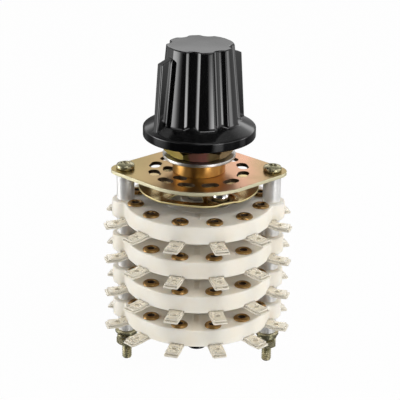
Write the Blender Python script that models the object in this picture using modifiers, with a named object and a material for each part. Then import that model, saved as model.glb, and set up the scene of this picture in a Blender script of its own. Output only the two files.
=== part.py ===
"""Four-wafer ceramic rotary switch with a fluted knob.

The origin is on the shaft's axis, on the shoulder of the bushing where a panel
would be clamped. +Z runs up the shaft to the knob and -Y faces the viewer of
the knob's front. All lengths are in metres.
"""
import math

import bmesh
import bpy
from mathutils import Matrix, Vector

# Clearances
SEAT_GAP = 0.00025
RUNNING_GAP = 0.00025
FUSE_OVERLAP = 0.0001

# Shaft
SHAFT_DIAMETER = 0.006
SHAFT_FLAT_DEPTH = 0.0008
SHAFT_TAIL_LENGTH = 0.0109
SHAFT_CHAMFER = 0.0004
CLIP_WIDTH = 0.0019
CLIP_THICKNESS = 0.0007
CLIP_GROOVE_DEPTH = 0.0005
CLIP_MOUTH_ANGLE = math.radians(70)

# Bushing, panel washer and panel nut
SHOULDER_DIAMETER = 0.0154
SHOULDER_HEIGHT = 0.0043
THREAD_DIAMETER = 0.0120
THREAD_SHOWS = 0.00135
STAKE_DIAMETER = 0.0110
STAKE_LIP = 0.0010
STAKE_LIP_HEIGHT = 0.0008
BUSH_CHAMFER = 0.0005
PANEL_WASHER_DIAMETER = 0.0212
PANEL_WASHER_THICKNESS = 0.00075
PANEL_NUT_ACROSS_FLATS = 0.0180
PANEL_NUT_HEIGHT = 0.0030
PANEL_NUT_CHAMFER = 0.0005

# Knob
KNOB_TOP_DIAMETER = 0.0193
KNOB_FOOT_DIAMETER = 0.0240
KNOB_HEIGHT = 0.0270
KNOB_CLEARANCE = 0.0008
SKIRT_DIAMETER = 0.0326
SKIRT_RIM_HEIGHT = 0.00275
SKIRT_SLOPE = math.radians(24)
SKIRT_WALL = 0.0016
KNOB_RECESS_DEPTH = 0.0014
KNOB_EDGE_RADIUS = 0.0004
KNOB_DIVISIONS = 8
FLUTE_RADIUS = 0.0030
FLUTE_DEPTH = 0.0011
FIN_DIRECTION = math.radians(-56)
FIN_THICKNESS = 0.0026
FIN_FOOT_REACH = 0.0150
FIN_TOP_REACH = 0.0135
FIN_DROP = 0.0041
FIN_RAMP_RISE = 0.0013
FIN_RAMP_RUN = 0.0034
FIN_EDGE = 0.00025
INSERT_DIAMETER = 0.0100
INSERT_LENGTH = 0.0170
GRUB_DIAMETER = 0.0030
GRUB_LENGTH = 0.0050
GRUB_RISE = 0.0085
GRUB_SLOT_WIDTH = 0.0005
GRUB_SLOT_DEPTH = 0.0006

# Front plate
TIE_SPACING = 0.0428
PLATE_DIAMETER = 0.0374
PLATE_TIP_RADIUS = 0.0042
PLATE_THICKNESS = 0.0011
INDEX_HOLES = 12
INDEX_HOLE_DIAMETER = 0.0043
STOP_HOLE_DIAMETER = 0.0030
STAKE_TO_STOP_HOLES = 0.00205
STOP_TO_INDEX_HOLES = 0.00025
STOP_HOLE_DIRECTIONS = (math.radians(-98), math.radians(-38))

# Detent disc and balls
DISC_DIAMETER = 0.0352
DISC_THICKNESS = 0.0006
DISC_HUB_DIAMETER = 0.0094
BALL_DIAMETER = 0.0048
BALL_STANDS_OUT = 0.0029
BALL_DIRECTION = math.radians(29)
POCKET_DIAMETER = 0.0080
POCKET_WALL = 0.0007
WINDOW_INNER_RADIUS = 0.0092
WINDOW_OUTER_RADIUS = 0.0146
WINDOW_START = math.radians(-37)
WINDOW_END = math.radians(6)

# Wafers
WAFER_COUNT = 4
WAFER_DIAMETER = 0.0438
WAFER_THICKNESS = 0.0052
WAFER_PITCH = 0.01075
WAFER_HOLE = 0.0212
WAFER_CAVITY = 0.0308
WAFER_WEB = 0.0020
EAR_RADIUS = 0.0042
PLATE_TO_WAFER = 0.0082
GROOVE_WIDTH = 0.0018
GROOVE_LENGTH = 0.0055
GROOVE_DEPTH = 0.0003

# Contacts of one wafer
CONTACT_COUNT = 12
CONTACT_CIRCLE_DIAMETER = 0.0376
EYELET_DIAMETER = 0.0049
EYELET_HEIGHT = 0.0009
EYELET_SIDE = 0.0004
EYELET_CROWN_DIAMETER = 0.0030
EYELET_MOUTH = 0.0020
EYELET_BORE = 0.0012
EYELET_DEPTH = 0.0018
LEAF_THICKNESS = 0.0004
LUG_WIDTH = 0.0042
LUG_THICKNESS = 0.0012
LUG_RISE = 0.0005
LUG_REACH = 0.0062
JAW_WIDTH = 0.0022
JAW_LENGTH = 0.0015
JAW_SPACE = 0.0011
COMMON_JAW_LENGTH = 0.0034
COMMON_CONTACT = 6

# Rotors
ROTOR_FLANGE_DIAMETER = 0.0232
ROTOR_HUB_DIAMETER = 0.0104
ROTOR_HUB_RISE = 0.0006
ROTOR_HUB_DROP = 0.0016
BLADE_THICKNESS = 0.0005
BLADE_TO_JAW = 0.0006
BLADE_TO_HUB = 0.0005
TONGUE_TO_JAW = 0.0004
BLADE_TONGUE_ANGLE = math.radians(15)
BLADE_DIRECTION = math.radians(15)

# Tie bolts and their stack
TIE_DIAMETER = 0.0030
TIE_HEAD_DIAMETER = 0.0054
TIE_HEAD_HEIGHT = 0.0016
TIE_RECESS_WIDTH = 0.0008
TIE_RECESS_LENGTH = 0.0026
TIE_RECESS_DEPTH = 0.0010
TIE_END_LENGTH = 0.0050
SPACER_DIAMETER = 0.0052
LOWER_SPACER_LENGTH = 0.0051
FLAT_WASHER_DIAMETER = 0.0070
FLAT_WASHER_THICKNESS = 0.0006
SPRING_WASHER_DIAMETER = 0.0061
SPRING_WASHER_THICKNESS = 0.0009
SPRING_WASHER_LIFT = 0.0003
SPRING_WASHER_MOUTH = math.radians(16)
TIE_NUT_ACROSS_FLATS = 0.0055
TIE_NUT_HEIGHT = 0.0024
TIE_NUT_CHAMFER = 0.0003

# Smoothness
FINE_STEPS = 48
MEDIUM_STEPS = 24
SMALL_STEPS = 12
TINY_STEPS = 8

# Heights and radii worked out from the sizes above
HALF_TURN = math.pi
FULL_TURN = 2 * math.pi
PLATE_TOP = -SHOULDER_HEIGHT
PLATE_BOTTOM = PLATE_TOP - PLATE_THICKNESS
FIRST_WAFER_TOP = PLATE_BOTTOM - PLATE_TO_WAFER
LAST_WAFER_BOTTOM = FIRST_WAFER_TOP - (WAFER_COUNT - 1) * WAFER_PITCH - WAFER_THICKNESS
PANEL_WASHER_BOTTOM = SEAT_GAP
PANEL_NUT_BOTTOM = PANEL_WASHER_BOTTOM + PANEL_WASHER_THICKNESS + SEAT_GAP
BUSH_TOP = PANEL_NUT_BOTTOM + PANEL_NUT_HEIGHT + THREAD_SHOWS
KNOB_BOTTOM = BUSH_TOP + KNOB_CLEARANCE
KNOB_TOP = KNOB_BOTTOM + KNOB_HEIGHT
KNOB_RIM_TOP = KNOB_BOTTOM + SKIRT_RIM_HEIGHT
INSERT_BOTTOM = KNOB_BOTTOM + KNOB_RECESS_DEPTH / 2
INSERT_TOP = INSERT_BOTTOM + INSERT_LENGTH
SHAFT_TOP = INSERT_TOP - RUNNING_GAP
SHAFT_BOTTOM = LAST_WAFER_BOTTOM - SHAFT_TAIL_LENGTH
SHAFT_RADIUS = SHAFT_DIAMETER / 2
BORE_RADIUS = SHAFT_RADIUS + RUNNING_GAP
STOP_CIRCLE_RADIUS = STAKE_DIAMETER / 2 + SEAT_GAP + STAKE_TO_STOP_HOLES + STOP_HOLE_DIAMETER / 2
INDEX_CIRCLE_RADIUS = (STOP_CIRCLE_RADIUS + STOP_HOLE_DIAMETER / 2 + STOP_TO_INDEX_HOLES
                       + INDEX_HOLE_DIAMETER / 2)
BALL_RADIUS = BALL_DIAMETER / 2
BALL_HEIGHT = PLATE_BOTTOM - RUNNING_GAP - BALL_RADIUS
DISC_TOP = PLATE_BOTTOM - RUNNING_GAP - BALL_STANDS_OUT
DISC_BOTTOM = DISC_TOP - DISC_THICKNESS
CLIP_TOP = DISC_BOTTOM - SEAT_GAP
CAVITY_RADIUS = WAFER_CAVITY / 2
JAW_BACK_RADIUS = CAVITY_RADIUS - SEAT_GAP
JAW_INNER_RADIUS = JAW_BACK_RADIUS - JAW_LENGTH
COMMON_JAW_INNER_RADIUS = JAW_BACK_RADIUS - COMMON_JAW_LENGTH
BLADE_RADIUS = JAW_INNER_RADIUS - BLADE_TO_JAW
TONGUE_RADIUS = JAW_BACK_RADIUS - LEAF_THICKNESS - TONGUE_TO_JAW
CLIP_BOTTOM = CLIP_TOP - CLIP_THICKNESS
TIE_RADIUS = TIE_DIAMETER / 2
TIE_HOLE_RADIUS = TIE_RADIUS + SEAT_GAP
TIE_NUT_TOP = (LAST_WAFER_BOTTOM - LOWER_SPACER_LENGTH - FLAT_WASHER_THICKNESS
               - SPRING_WASHER_THICKNESS - SPRING_WASHER_LIFT - 4 * SEAT_GAP)
TIE_BOTTOM = TIE_NUT_TOP - TIE_NUT_HEIGHT - TIE_END_LENGTH


def start_scene():
    """Empties the scene and makes one collection for parts and one for tools."""
    for old in list(bpy.data.objects):
        bpy.data.objects.remove(old, do_unlink=True)
    made = []
    for name in ("wafer_rotary_switch", "cutters"):
        collection = bpy.data.collections.new(name)
        bpy.context.scene.collection.children.link(collection)
        made.append(collection)
    return made


PARTS, CUTTERS = start_scene()


# Materials
def material(name, colour, roughness, metallic):
    """A Principled material of one colour."""
    made = bpy.data.materials.new(name)
    made.use_nodes = True
    shader = made.node_tree.nodes["Principled BSDF"]
    shader.inputs["Base Color"].default_value = (*colour, 1.0)
    shader.inputs["Roughness"].default_value = roughness
    shader.inputs["Metallic"].default_value = metallic
    return made


BLACK_RESIN = material("black_resin", (0.012, 0.012, 0.013), 0.16, 0.0)
BRASS = material("brass", (0.72, 0.45, 0.16), 0.25, 1.0)
YELLOW_ZINC = material("yellow_zinc", (0.60, 0.46, 0.28), 0.35, 1.0)
BRIGHT_NICKEL = material("bright_nickel", (0.78, 0.77, 0.74), 0.18, 1.0)
STEEL = material("steel", (0.52, 0.51, 0.50), 0.30, 1.0)
ALUMINIUM = material("aluminium", (0.80, 0.80, 0.80), 0.28, 1.0)
CERAMIC = material("ceramic", (0.83, 0.80, 0.74), 0.45, 0.0)
SILVER_PLATE = material("silver_plate", (0.82, 0.79, 0.72), 0.32, 1.0)


# Modelling helpers
def new_object(name, mesh, collection):
    """Links a mesh to the scene under a name."""
    made = bpy.data.objects.new(name, mesh)
    collection.objects.link(made)
    if collection is CUTTERS:
        made.hide_render = True
        made.display_type = 'WIRE'
    return made


def bake(source):
    """Turns an object's curve or modifiers into its own welded mesh."""
    bpy.context.view_layer.update()
    seen = source.evaluated_get(bpy.context.evaluated_depsgraph_get())
    mesh = bpy.data.meshes.new_from_object(seen)
    work = bmesh.new()
    work.from_mesh(mesh)
    bmesh.ops.remove_doubles(work, verts=work.verts, dist=1e-7)
    work.to_mesh(mesh)
    work.free()
    made = new_object(source.name + "_solid", mesh, source.users_collection[0])
    made.matrix_world = source.matrix_world.copy()
    name = source.name
    bpy.data.objects.remove(source, do_unlink=True)
    made.name = name
    return made


def turned(name, profile, steps, collection=CUTTERS):
    """Turns a profile of (radius, height) points, outer side downwards, about Z."""
    closed = profile[0][0] > 0.0
    mesh = bpy.data.meshes.new(name)
    points = [(radius, 0.0, height) for radius, height in profile]
    edges = [(i, i + 1) for i in range(len(points) - 1)]
    if closed:
        edges.append((len(points) - 1, 0))
    mesh.from_pydata(points, edges, [])
    made = new_object(name, mesh, collection)
    screw = made.modifiers.new("turn", 'SCREW')
    screw.axis = 'Z'
    screw.steps = steps
    screw.render_steps = steps
    screw.use_merge_vertices = True
    screw.merge_threshold = 1e-7
    return bake(made)


def rod(name, radius, top, bottom, steps, collection=CUTTERS):
    """A plain round bar on the Z axis."""
    return turned(name, [(0.0, top), (radius, top), (radius, bottom), (0.0, bottom)], steps, collection)


def tube(name, radius, bore, top, bottom, steps, collection=CUTTERS):
    """A round tube on the Z axis."""
    return turned(name, [(radius, top), (radius, bottom), (bore, bottom), (bore, top)], steps, collection)


def flat(name, outlines, top, bottom, collection=CUTTERS):
    """A flat piece between two heights; the first outline is the edge, the rest are holes."""
    curve = bpy.data.curves.new(name, 'CURVE')
    curve.dimensions = '2D'
    curve.fill_mode = 'BOTH'
    curve.extrude = (top - bottom) / 2
    for outline in outlines:
        spline = curve.splines.new('POLY')
        spline.points.add(len(outline) - 1)
        for point, (x, y) in zip(spline.points, outline):
            point.co = (x, y, 0.0, 1.0)
        spline.use_cyclic_u = True
    made = new_object(name, curve, collection)
    made = bake(made)
    made.data.transform(Matrix.Translation((0.0, 0.0, (top + bottom) / 2)))
    return made


def box(name, size, centre, collection=CUTTERS):
    """A box of the given size about a centre."""
    mesh = bpy.data.meshes.new(name)
    work = bmesh.new()
    bmesh.ops.create_cube(work, size=1.0)
    bmesh.ops.scale(work, vec=Vector(size), verts=work.verts)
    bmesh.ops.translate(work, vec=Vector(centre), verts=work.verts)
    work.to_mesh(mesh)
    work.free()
    return new_object(name, mesh, collection)


def place(piece, matrix):
    """Moves an object's mesh by a matrix."""
    piece.data.transform(matrix)
    return piece


def boolean(piece, tool, operation):
    """Cuts, joins or intersects a piece with a tool and uses the tool up."""
    change = piece.modifiers.new(operation.lower(), 'BOOLEAN')
    change.operation = operation
    change.solver = 'EXACT'
    change.object = tool
    made = bake(piece)
    bpy.data.objects.remove(tool, do_unlink=True)
    return made


def boolean_all(piece, tools, operation):
    """Works a list of separate tools on a piece in one step."""
    group = bpy.data.collections.new("pattern")
    bpy.context.scene.collection.children.link(group)
    for tool in tools:
        group.objects.link(tool)
    change = piece.modifiers.new(operation.lower(), 'BOOLEAN')
    change.operation = operation
    change.solver = 'EXACT'
    change.operand_type = 'COLLECTION'
    change.collection = group
    made = bake(piece)
    for tool in tools:
        bpy.data.objects.remove(tool, do_unlink=True)
    bpy.data.collections.remove(group)
    return made


def finish(piece, name, look, parent=None, smooth_angle=math.radians(35)):
    """Puts a finished piece among the parts with its name, look and parent."""
    if piece.name not in PARTS.objects:
        CUTTERS.objects.unlink(piece)
        PARTS.objects.link(piece)
    piece.name = name
    piece.hide_render = False
    piece.display_type = 'TEXTURED'
    piece.data.materials.clear()
    piece.data.materials.append(look)
    piece.data.shade_smooth()
    piece.data.set_sharp_from_angle(angle=smooth_angle)
    if parent is not None:
        piece.parent = parent
    return piece


def copy_of(piece, name, location, turn=0.0, parent=None):
    """Another object that shares a finished piece's mesh."""
    made = bpy.data.objects.new(name, piece.data)
    PARTS.objects.link(made)
    made.location = location
    made.rotation_euler = (0.0, 0.0, turn)
    if parent is not None:
        made.parent = parent
    return made


# Outlines
def direction_point(direction, radius):
    """A point seen from the axis, its direction measured from the front (-Y) towards +X."""
    return (radius * math.sin(direction), -radius * math.cos(direction))


def facing(direction):
    """Turns what is modelled at the front (-Y) to a direction."""
    return Matrix.Rotation(direction, 4, 'Z')


def arc(centre, radius, start, end, steps):
    """Points along an arc, with angles from +X."""
    angles = [start + (end - start) * i / steps for i in range(steps + 1)]
    return [(centre[0] + radius * math.cos(a), centre[1] + radius * math.sin(a)) for a in angles]


def circle(centre, radius, steps):
    """Points round a full circle."""
    return arc(centre, radius, 0.0, FULL_TURN, steps)[:-1]


def d_outline(radius, flat_depth, steps):
    """A circle with one flat at its back (+Y)."""
    half_angle = math.acos((radius - flat_depth) / radius)
    return arc((0.0, 0.0), radius, math.pi / 2 + half_angle, math.pi / 2 + FULL_TURN - half_angle, steps)


def d_bore(top, bottom):
    """The hole that fits the flatted shaft."""
    outline = d_outline(BORE_RADIUS, SHAFT_FLAT_DEPTH, SMALL_STEPS)
    return flat("bore", [outline], top + SEAT_GAP, bottom - SEAT_GAP)


def hexagon(across_flats, turn=0.0):
    """The corners of a hexagon."""
    radius = across_flats / math.sqrt(3)
    angles = [turn + i * math.pi / 3 for i in range(6)]
    return [(radius * math.cos(a), radius * math.sin(a)) for a in angles]


def hex_nut(name, across_flats, height, bore_radius, chamfer, turn=0.0):
    """A nut with its corners turned off above and below, standing on zero height."""
    corner = across_flats / math.sqrt(3)
    blank = flat(name, [hexagon(across_flats, turn)], height, 0.0)
    drop = chamfer + (corner - across_flats / 2) * math.tan(math.radians(30))
    lead = across_flats / 2 - chamfer
    rounding = turned("rounding", [
        (0.0, height), (lead, height), (corner + chamfer, height - drop), (corner + chamfer, drop),
        (lead, 0.0), (0.0, 0.0)], MEDIUM_STEPS)
    blank = boolean(blank, rounding, 'INTERSECT')
    return boolean(blank, rod("hole", bore_radius, height + SEAT_GAP, -SEAT_GAP, SMALL_STEPS), 'DIFFERENCE')


# Panel end: bushing, washer, nut and front plate
def make_bushing():
    """Threaded bushing with the shoulder that the panel seats on, staked to the plate."""
    thread = THREAD_DIAMETER / 2
    shoulder = SHOULDER_DIAMETER / 2
    stake = STAKE_DIAMETER / 2
    lip_top = PLATE_BOTTOM - SEAT_GAP
    lip_bottom = lip_top - STAKE_LIP_HEIGHT
    body = turned("bushing", [
        (thread - BUSH_CHAMFER, BUSH_TOP), (thread, BUSH_TOP - BUSH_CHAMFER), (thread, 0.0), (shoulder, 0.0),
        (shoulder, PLATE_TOP + SEAT_GAP), (stake, PLATE_TOP + SEAT_GAP), (stake, lip_top),
        (stake + STAKE_LIP, lip_top), (stake, lip_bottom), (BORE_RADIUS, lip_bottom),
        (BORE_RADIUS, BUSH_TOP)], MEDIUM_STEPS)
    return finish(body, "bushing", BRASS)


def make_panel_washer():
    """Flat washer under the panel nut."""
    top = PANEL_WASHER_BOTTOM + PANEL_WASHER_THICKNESS
    ring = tube("panel_washer", PANEL_WASHER_DIAMETER / 2, THREAD_DIAMETER / 2 + SEAT_GAP,
                top, PANEL_WASHER_BOTTOM, MEDIUM_STEPS)
    return finish(ring, "panel_washer", BRIGHT_NICKEL)


def make_panel_nut():
    """Large hexagon nut on the bushing."""
    nut = hex_nut("panel_nut", PANEL_NUT_ACROSS_FLATS, PANEL_NUT_HEIGHT, THREAD_DIAMETER / 2 + SEAT_GAP,
                  PANEL_NUT_CHAMFER, math.radians(4.5))
    place(nut, Matrix.Translation((0.0, 0.0, PANEL_NUT_BOTTOM)))
    return finish(nut, "panel_nut", YELLOW_ZINC)


def plate_outline():
    """A large circle and two small ones at the tie bolts, held in one tight band."""
    reach = TIE_SPACING / 2
    radius = PLATE_DIAMETER / 2
    touch = math.acos((radius - PLATE_TIP_RADIUS) / reach)
    return (arc((reach, 0.0), PLATE_TIP_RADIUS, -touch, touch, 12)
            + arc((0.0, 0.0), radius, touch, HALF_TURN - touch, 24)
            + arc((-reach, 0.0), PLATE_TIP_RADIUS, HALF_TURN - touch, HALF_TURN + touch, 12)
            + arc((0.0, 0.0), radius, HALF_TURN + touch, FULL_TURN - touch, 24))


def make_front_plate():
    """Lens-shaped steel plate with the index holes, the stop holes and the tie-bolt holes."""
    step = FULL_TURN / INDEX_HOLES
    outlines = [plate_outline(), circle((0.0, 0.0), STAKE_DIAMETER / 2 + SEAT_GAP, MEDIUM_STEPS)]
    for index in range(INDEX_HOLES):
        centre = direction_point((index + 0.5) * step, INDEX_CIRCLE_RADIUS)
        outlines.append(circle(centre, INDEX_HOLE_DIAMETER / 2, SMALL_STEPS))
    for direction in STOP_HOLE_DIRECTIONS:
        centre = direction_point(direction, STOP_CIRCLE_RADIUS)
        outlines.append(circle(centre, STOP_HOLE_DIAMETER / 2, SMALL_STEPS))
    for side in (-1, 1):
        outlines.append(circle((side * TIE_SPACING / 2, 0.0), TIE_HOLE_RADIUS, SMALL_STEPS))
    return finish(flat("front_plate", outlines, PLATE_TOP, PLATE_BOTTOM), "front_plate", YELLOW_ZINC)


# Turning parts: shaft, clip, detent disc, balls
def make_shaft(rotor):
    """Round shaft with a flat for the knob and another for the rotors, and a clip groove."""
    radius = SHAFT_RADIUS
    body = turned("shaft", [
        (0.0, SHAFT_TOP), (radius - SHAFT_CHAMFER, SHAFT_TOP), (radius, SHAFT_TOP - SHAFT_CHAMFER),
        (radius, CLIP_TOP + RUNNING_GAP), (radius - CLIP_GROOVE_DEPTH, CLIP_TOP + RUNNING_GAP),
        (radius - CLIP_GROOVE_DEPTH, CLIP_BOTTOM - RUNNING_GAP), (radius, CLIP_BOTTOM - RUNNING_GAP),
        (radius, SHAFT_BOTTOM + SHAFT_CHAMFER), (radius - SHAFT_CHAMFER, SHAFT_BOTTOM),
        (0.0, SHAFT_BOTTOM)], MEDIUM_STEPS)
    lower_top = PLATE_BOTTOM - SEAT_GAP - STAKE_LIP_HEIGHT - SEAT_GAP
    for name, top, bottom in (("knob_flat", SHAFT_TOP + SEAT_GAP, INSERT_BOTTOM),
                              ("rotor_flat", lower_top, SHAFT_BOTTOM - SEAT_GAP)):
        depth = 2 * SHAFT_FLAT_DEPTH
        cutter = box(name, (SHAFT_DIAMETER, depth, top - bottom),
                     (0.0, radius - SHAFT_FLAT_DEPTH + depth / 2, (top + bottom) / 2))
        body = boolean(body, cutter, 'DIFFERENCE')
    return finish(body, "shaft", STEEL, rotor)


def make_shaft_clip(rotor):
    """Snap ring below the detent disc, open at the front."""
    inner = SHAFT_RADIUS - CLIP_GROOVE_DEPTH + SEAT_GAP
    start = -math.pi / 2 + CLIP_MOUTH_ANGLE / 2
    end = start + FULL_TURN - CLIP_MOUTH_ANGLE
    outline = (arc((0.0, 0.0), SHAFT_RADIUS + CLIP_WIDTH, start, end, SMALL_STEPS)
               + arc((0.0, 0.0), inner, end, start, SMALL_STEPS))
    return finish(flat("shaft_clip", [outline], CLIP_TOP, CLIP_BOTTOM), "shaft_clip", STEEL, rotor)


def disc_outline():
    """A circle with a straight edge along each window."""
    first = WINDOW_END - math.pi / 2
    last = WINDOW_START + math.pi / 2
    radius = DISC_DIAMETER / 2
    return (arc((0.0, 0.0), radius, first, last, 18)
            + arc((0.0, 0.0), radius, first + HALF_TURN, last + HALF_TURN, 18))


def window_outline(start, end):
    """A slot between two radii and two directions."""
    first = start - math.pi / 2
    last = end - math.pi / 2
    return (arc((0.0, 0.0), WINDOW_OUTER_RADIUS, first, last, 12)
            + arc((0.0, 0.0), WINDOW_INNER_RADIUS, last, first, 10))


def make_detent_disc(rotor):
    """Thin disc with two windows and two dished pockets that carry the balls."""
    outlines = [disc_outline()]
    for half in (0.0, HALF_TURN):
        outlines.append(window_outline(WINDOW_START + half, WINDOW_END + half))
    disc = flat("detent_disc", outlines, DISC_TOP, DISC_BOTTOM)
    hub = rod("disc_hub", DISC_HUB_DIAMETER / 2, DISC_TOP + BALL_STANDS_OUT / 3, DISC_BOTTOM, MEDIUM_STEPS)
    disc = boolean(disc, hub, 'UNION')
    for half in (0.0, HALF_TURN):
        disc = add_pocket(disc, BALL_DIRECTION + half)
    disc = boolean(disc, d_bore(DISC_TOP + BALL_STANDS_OUT, DISC_BOTTOM), 'DIFFERENCE')
    return finish(disc, "detent_disc", YELLOW_ZINC, rotor)


def bowl_arc(radius, start_height, steps):
    """Points down a bowl from a height below its centre to its lowest point."""
    start = math.asin(-start_height / radius)
    angles = [start + (math.pi / 2 - start) * i / steps for i in range(steps + 1)]
    points = [(radius * math.cos(a), -radius * math.sin(a)) for a in angles]
    points[-1] = (0.0, -radius)
    return points


def add_pocket(disc, direction):
    """Presses one ball pocket into the disc: a bowl below and a flared mouth above."""
    inner = BALL_RADIUS + RUNNING_GAP
    outer = inner + POCKET_WALL
    x, y = direction_point(direction, INDEX_CIRCLE_RADIUS)
    spot = Matrix.Translation((x, y, BALL_HEIGHT))
    mouth_height = DISC_TOP - BALL_HEIGHT
    mid_height = (DISC_TOP + DISC_BOTTOM) / 2 - BALL_HEIGHT
    under_height = mid_height - DISC_THICKNESS
    bowl_side = bowl_arc(outer, under_height, 3)
    bowl = turned("bowl", [(0.0, mid_height), (outer, mid_height)] + bowl_side, SMALL_STEPS)
    cavity = turned("cavity", [(0.0, -mouth_height), (POCKET_DIAMETER / 2, -mouth_height),
                               (POCKET_DIAMETER / 2, mouth_height)]
                    + bowl_arc(inner, under_height, 3), SMALL_STEPS)
    disc = boolean(disc, place(bowl, spot), 'UNION')
    return boolean(disc, place(cavity, spot), 'DIFFERENCE')


def make_balls(rotor):
    """Two steel balls that ride in the pockets."""
    mesh = bpy.data.meshes.new("detent_ball")
    work = bmesh.new()
    bmesh.ops.create_uvsphere(work, u_segments=SMALL_STEPS, v_segments=TINY_STEPS, radius=BALL_RADIUS)
    work.to_mesh(mesh)
    work.free()
    for index in range(2):
        x, y = direction_point(BALL_DIRECTION + index * HALF_TURN, INDEX_CIRCLE_RADIUS)
        ball = new_object(f"detent_ball_{index + 1}", mesh, PARTS)
        ball.location = (x, y, BALL_HEIGHT)
        finish(ball, ball.name, STEEL, rotor, math.radians(60))


# Knob
def body_radius(height):
    """The knob body's radius at a height above the knob's bottom."""
    share = (height - SKIRT_RIM_HEIGHT) / (KNOB_HEIGHT - SKIRT_RIM_HEIGHT)
    return KNOB_FOOT_DIAMETER / 2 + share * (KNOB_TOP_DIAMETER - KNOB_FOOT_DIAMETER) / 2


def knob_body():
    """Tapered body with its top edge rounded."""
    top = KNOB_HEIGHT
    edge = KNOB_EDGE_RADIUS
    return turned("knob_body", [
        (0.0, top), (KNOB_TOP_DIAMETER / 2 - edge, top), (KNOB_TOP_DIAMETER / 2 - edge * 0.3, top - edge * 0.3),
        (body_radius(top - edge), top - edge), (body_radius(SKIRT_RIM_HEIGHT), SKIRT_RIM_HEIGHT),
        (0.0, SKIRT_RIM_HEIGHT)], FINE_STEPS)


def knob_flute(direction):
    """A leaning round cutter for one flute."""
    lean = math.atan2((KNOB_FOOT_DIAMETER - KNOB_TOP_DIAMETER) / 2, KNOB_HEIGHT - SKIRT_RIM_HEIGHT)
    cutter = rod("flute", FLUTE_RADIUS, KNOB_HEIGHT, -KNOB_HEIGHT, MEDIUM_STEPS)
    place(cutter, Matrix.Rotation(-lean, 4, 'X'))
    place(cutter, Matrix.Translation((0.0, FLUTE_DEPTH - KNOB_TOP_DIAMETER / 2 - FLUTE_RADIUS, KNOB_HEIGHT)))
    return place(cutter, facing(direction))


def knob_skirt():
    """Skirt with its conical upper side, which runs on under the body."""
    radius = SKIRT_DIAMETER / 2
    edge = KNOB_EDGE_RADIUS
    slope = math.tan(SKIRT_SLOPE)
    inner = KNOB_TOP_DIAMETER / 2 - FLUTE_RADIUS
    inner_height = SKIRT_RIM_HEIGHT + (radius - inner) * slope
    return turned("knob_skirt", [
        (0.0, inner_height), (inner, inner_height),
        (radius - edge, SKIRT_RIM_HEIGHT + edge * slope), (radius, SKIRT_RIM_HEIGHT - edge),
        (radius, edge), (radius - edge, 0.0), (0.0, 0.0)], FINE_STEPS)


def knob_fin(direction):
    """One grip fin: a flat plate standing on the skirt, with a ramp at its top."""
    shoulder = KNOB_HEIGHT - FIN_DROP
    root = INSERT_DIAMETER / 2 + SKIRT_WALL
    outline = [(root, SKIRT_RIM_HEIGHT - SKIRT_WALL), (FIN_FOOT_REACH, SKIRT_RIM_HEIGHT - SKIRT_WALL),
               (FIN_TOP_REACH, shoulder), (FIN_TOP_REACH - FIN_RAMP_RUN, shoulder + FIN_RAMP_RISE),
               (root, shoulder + FIN_RAMP_RISE)]
    fin = flat("fin", [outline], FIN_THICKNESS / 2, -FIN_THICKNESS / 2)
    rounding = fin.modifiers.new("rounding", 'BEVEL')
    rounding.width = FIN_EDGE
    rounding.segments = 2
    rounding.limit_method = 'ANGLE'
    fin = bake(fin)
    place(fin, Matrix.Rotation(math.pi / 2, 4, 'X'))
    place(fin, Matrix.Rotation(-math.pi / 2, 4, 'Z'))
    return place(fin, facing(direction))


def make_knob(rotor):
    """Moulded knob: body with six flutes, skirt, two opposite fins and a hollow underside."""
    step = FULL_TURN / KNOB_DIVISIONS
    half_way = KNOB_DIVISIONS // 2
    flutes = [knob_flute(FIN_DIRECTION + index * step) for index in range(KNOB_DIVISIONS) if index % half_way]
    knob = boolean_all(knob_body(), flutes, 'DIFFERENCE')
    knob = boolean(knob, knob_skirt(), 'UNION')
    for half in (0.0, HALF_TURN):
        knob = boolean(knob, knob_fin(FIN_DIRECTION + half), 'UNION')
    hub = INSERT_DIAMETER / 2 + SKIRT_WALL
    recess = tube("recess", SKIRT_DIAMETER / 2 - SKIRT_WALL, hub, KNOB_RECESS_DEPTH, -KNOB_RECESS_DEPTH,
                  MEDIUM_STEPS)
    knob = boolean(knob, recess, 'DIFFERENCE')
    socket_top = INSERT_TOP + SEAT_GAP - KNOB_BOTTOM
    knob = boolean(knob, rod("socket", INSERT_DIAMETER / 2 + SEAT_GAP, socket_top, -SEAT_GAP, MEDIUM_STEPS),
                   'DIFFERENCE')
    knob = boolean(knob, grub_hole(GRUB_DIAMETER / 2 + SEAT_GAP, KNOB_FOOT_DIAMETER / 2), 'DIFFERENCE')
    place(knob, Matrix.Translation((0.0, 0.0, KNOB_BOTTOM)))
    return finish(knob, "knob", BLACK_RESIN, rotor)


def grub_direction():
    """The grub screw sits in the flute that looks most to the back."""
    step = FULL_TURN / KNOB_DIVISIONS
    return FIN_DIRECTION + step * round((HALF_TURN - FIN_DIRECTION) / step)


def grub_hole(radius, reach):
    """A radial hole from the axis out to a reach, at the grub screw's height above the knob's bottom."""
    hole = rod("grub_hole", radius, reach, 0.0, SMALL_STEPS)
    place(hole, Matrix.Rotation(math.pi / 2, 4, 'X'))
    return place(hole, facing(grub_direction()) @ Matrix.Translation((0.0, 0.0, GRUB_RISE)))


def make_knob_insert(rotor):
    """Brass insert moulded into the knob, with the bore for the flatted shaft."""
    sleeve = rod("knob_insert", INSERT_DIAMETER / 2, INSERT_TOP, INSERT_BOTTOM, MEDIUM_STEPS)
    sleeve = boolean(sleeve, d_bore(INSERT_TOP, INSERT_BOTTOM), 'DIFFERENCE')
    hole = grub_hole(GRUB_DIAMETER / 2 + SEAT_GAP, KNOB_FOOT_DIAMETER / 2)
    sleeve = boolean(sleeve, place(hole, Matrix.Translation((0.0, 0.0, KNOB_BOTTOM))), 'DIFFERENCE')
    return finish(sleeve, "knob_insert", BRASS, rotor)


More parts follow.
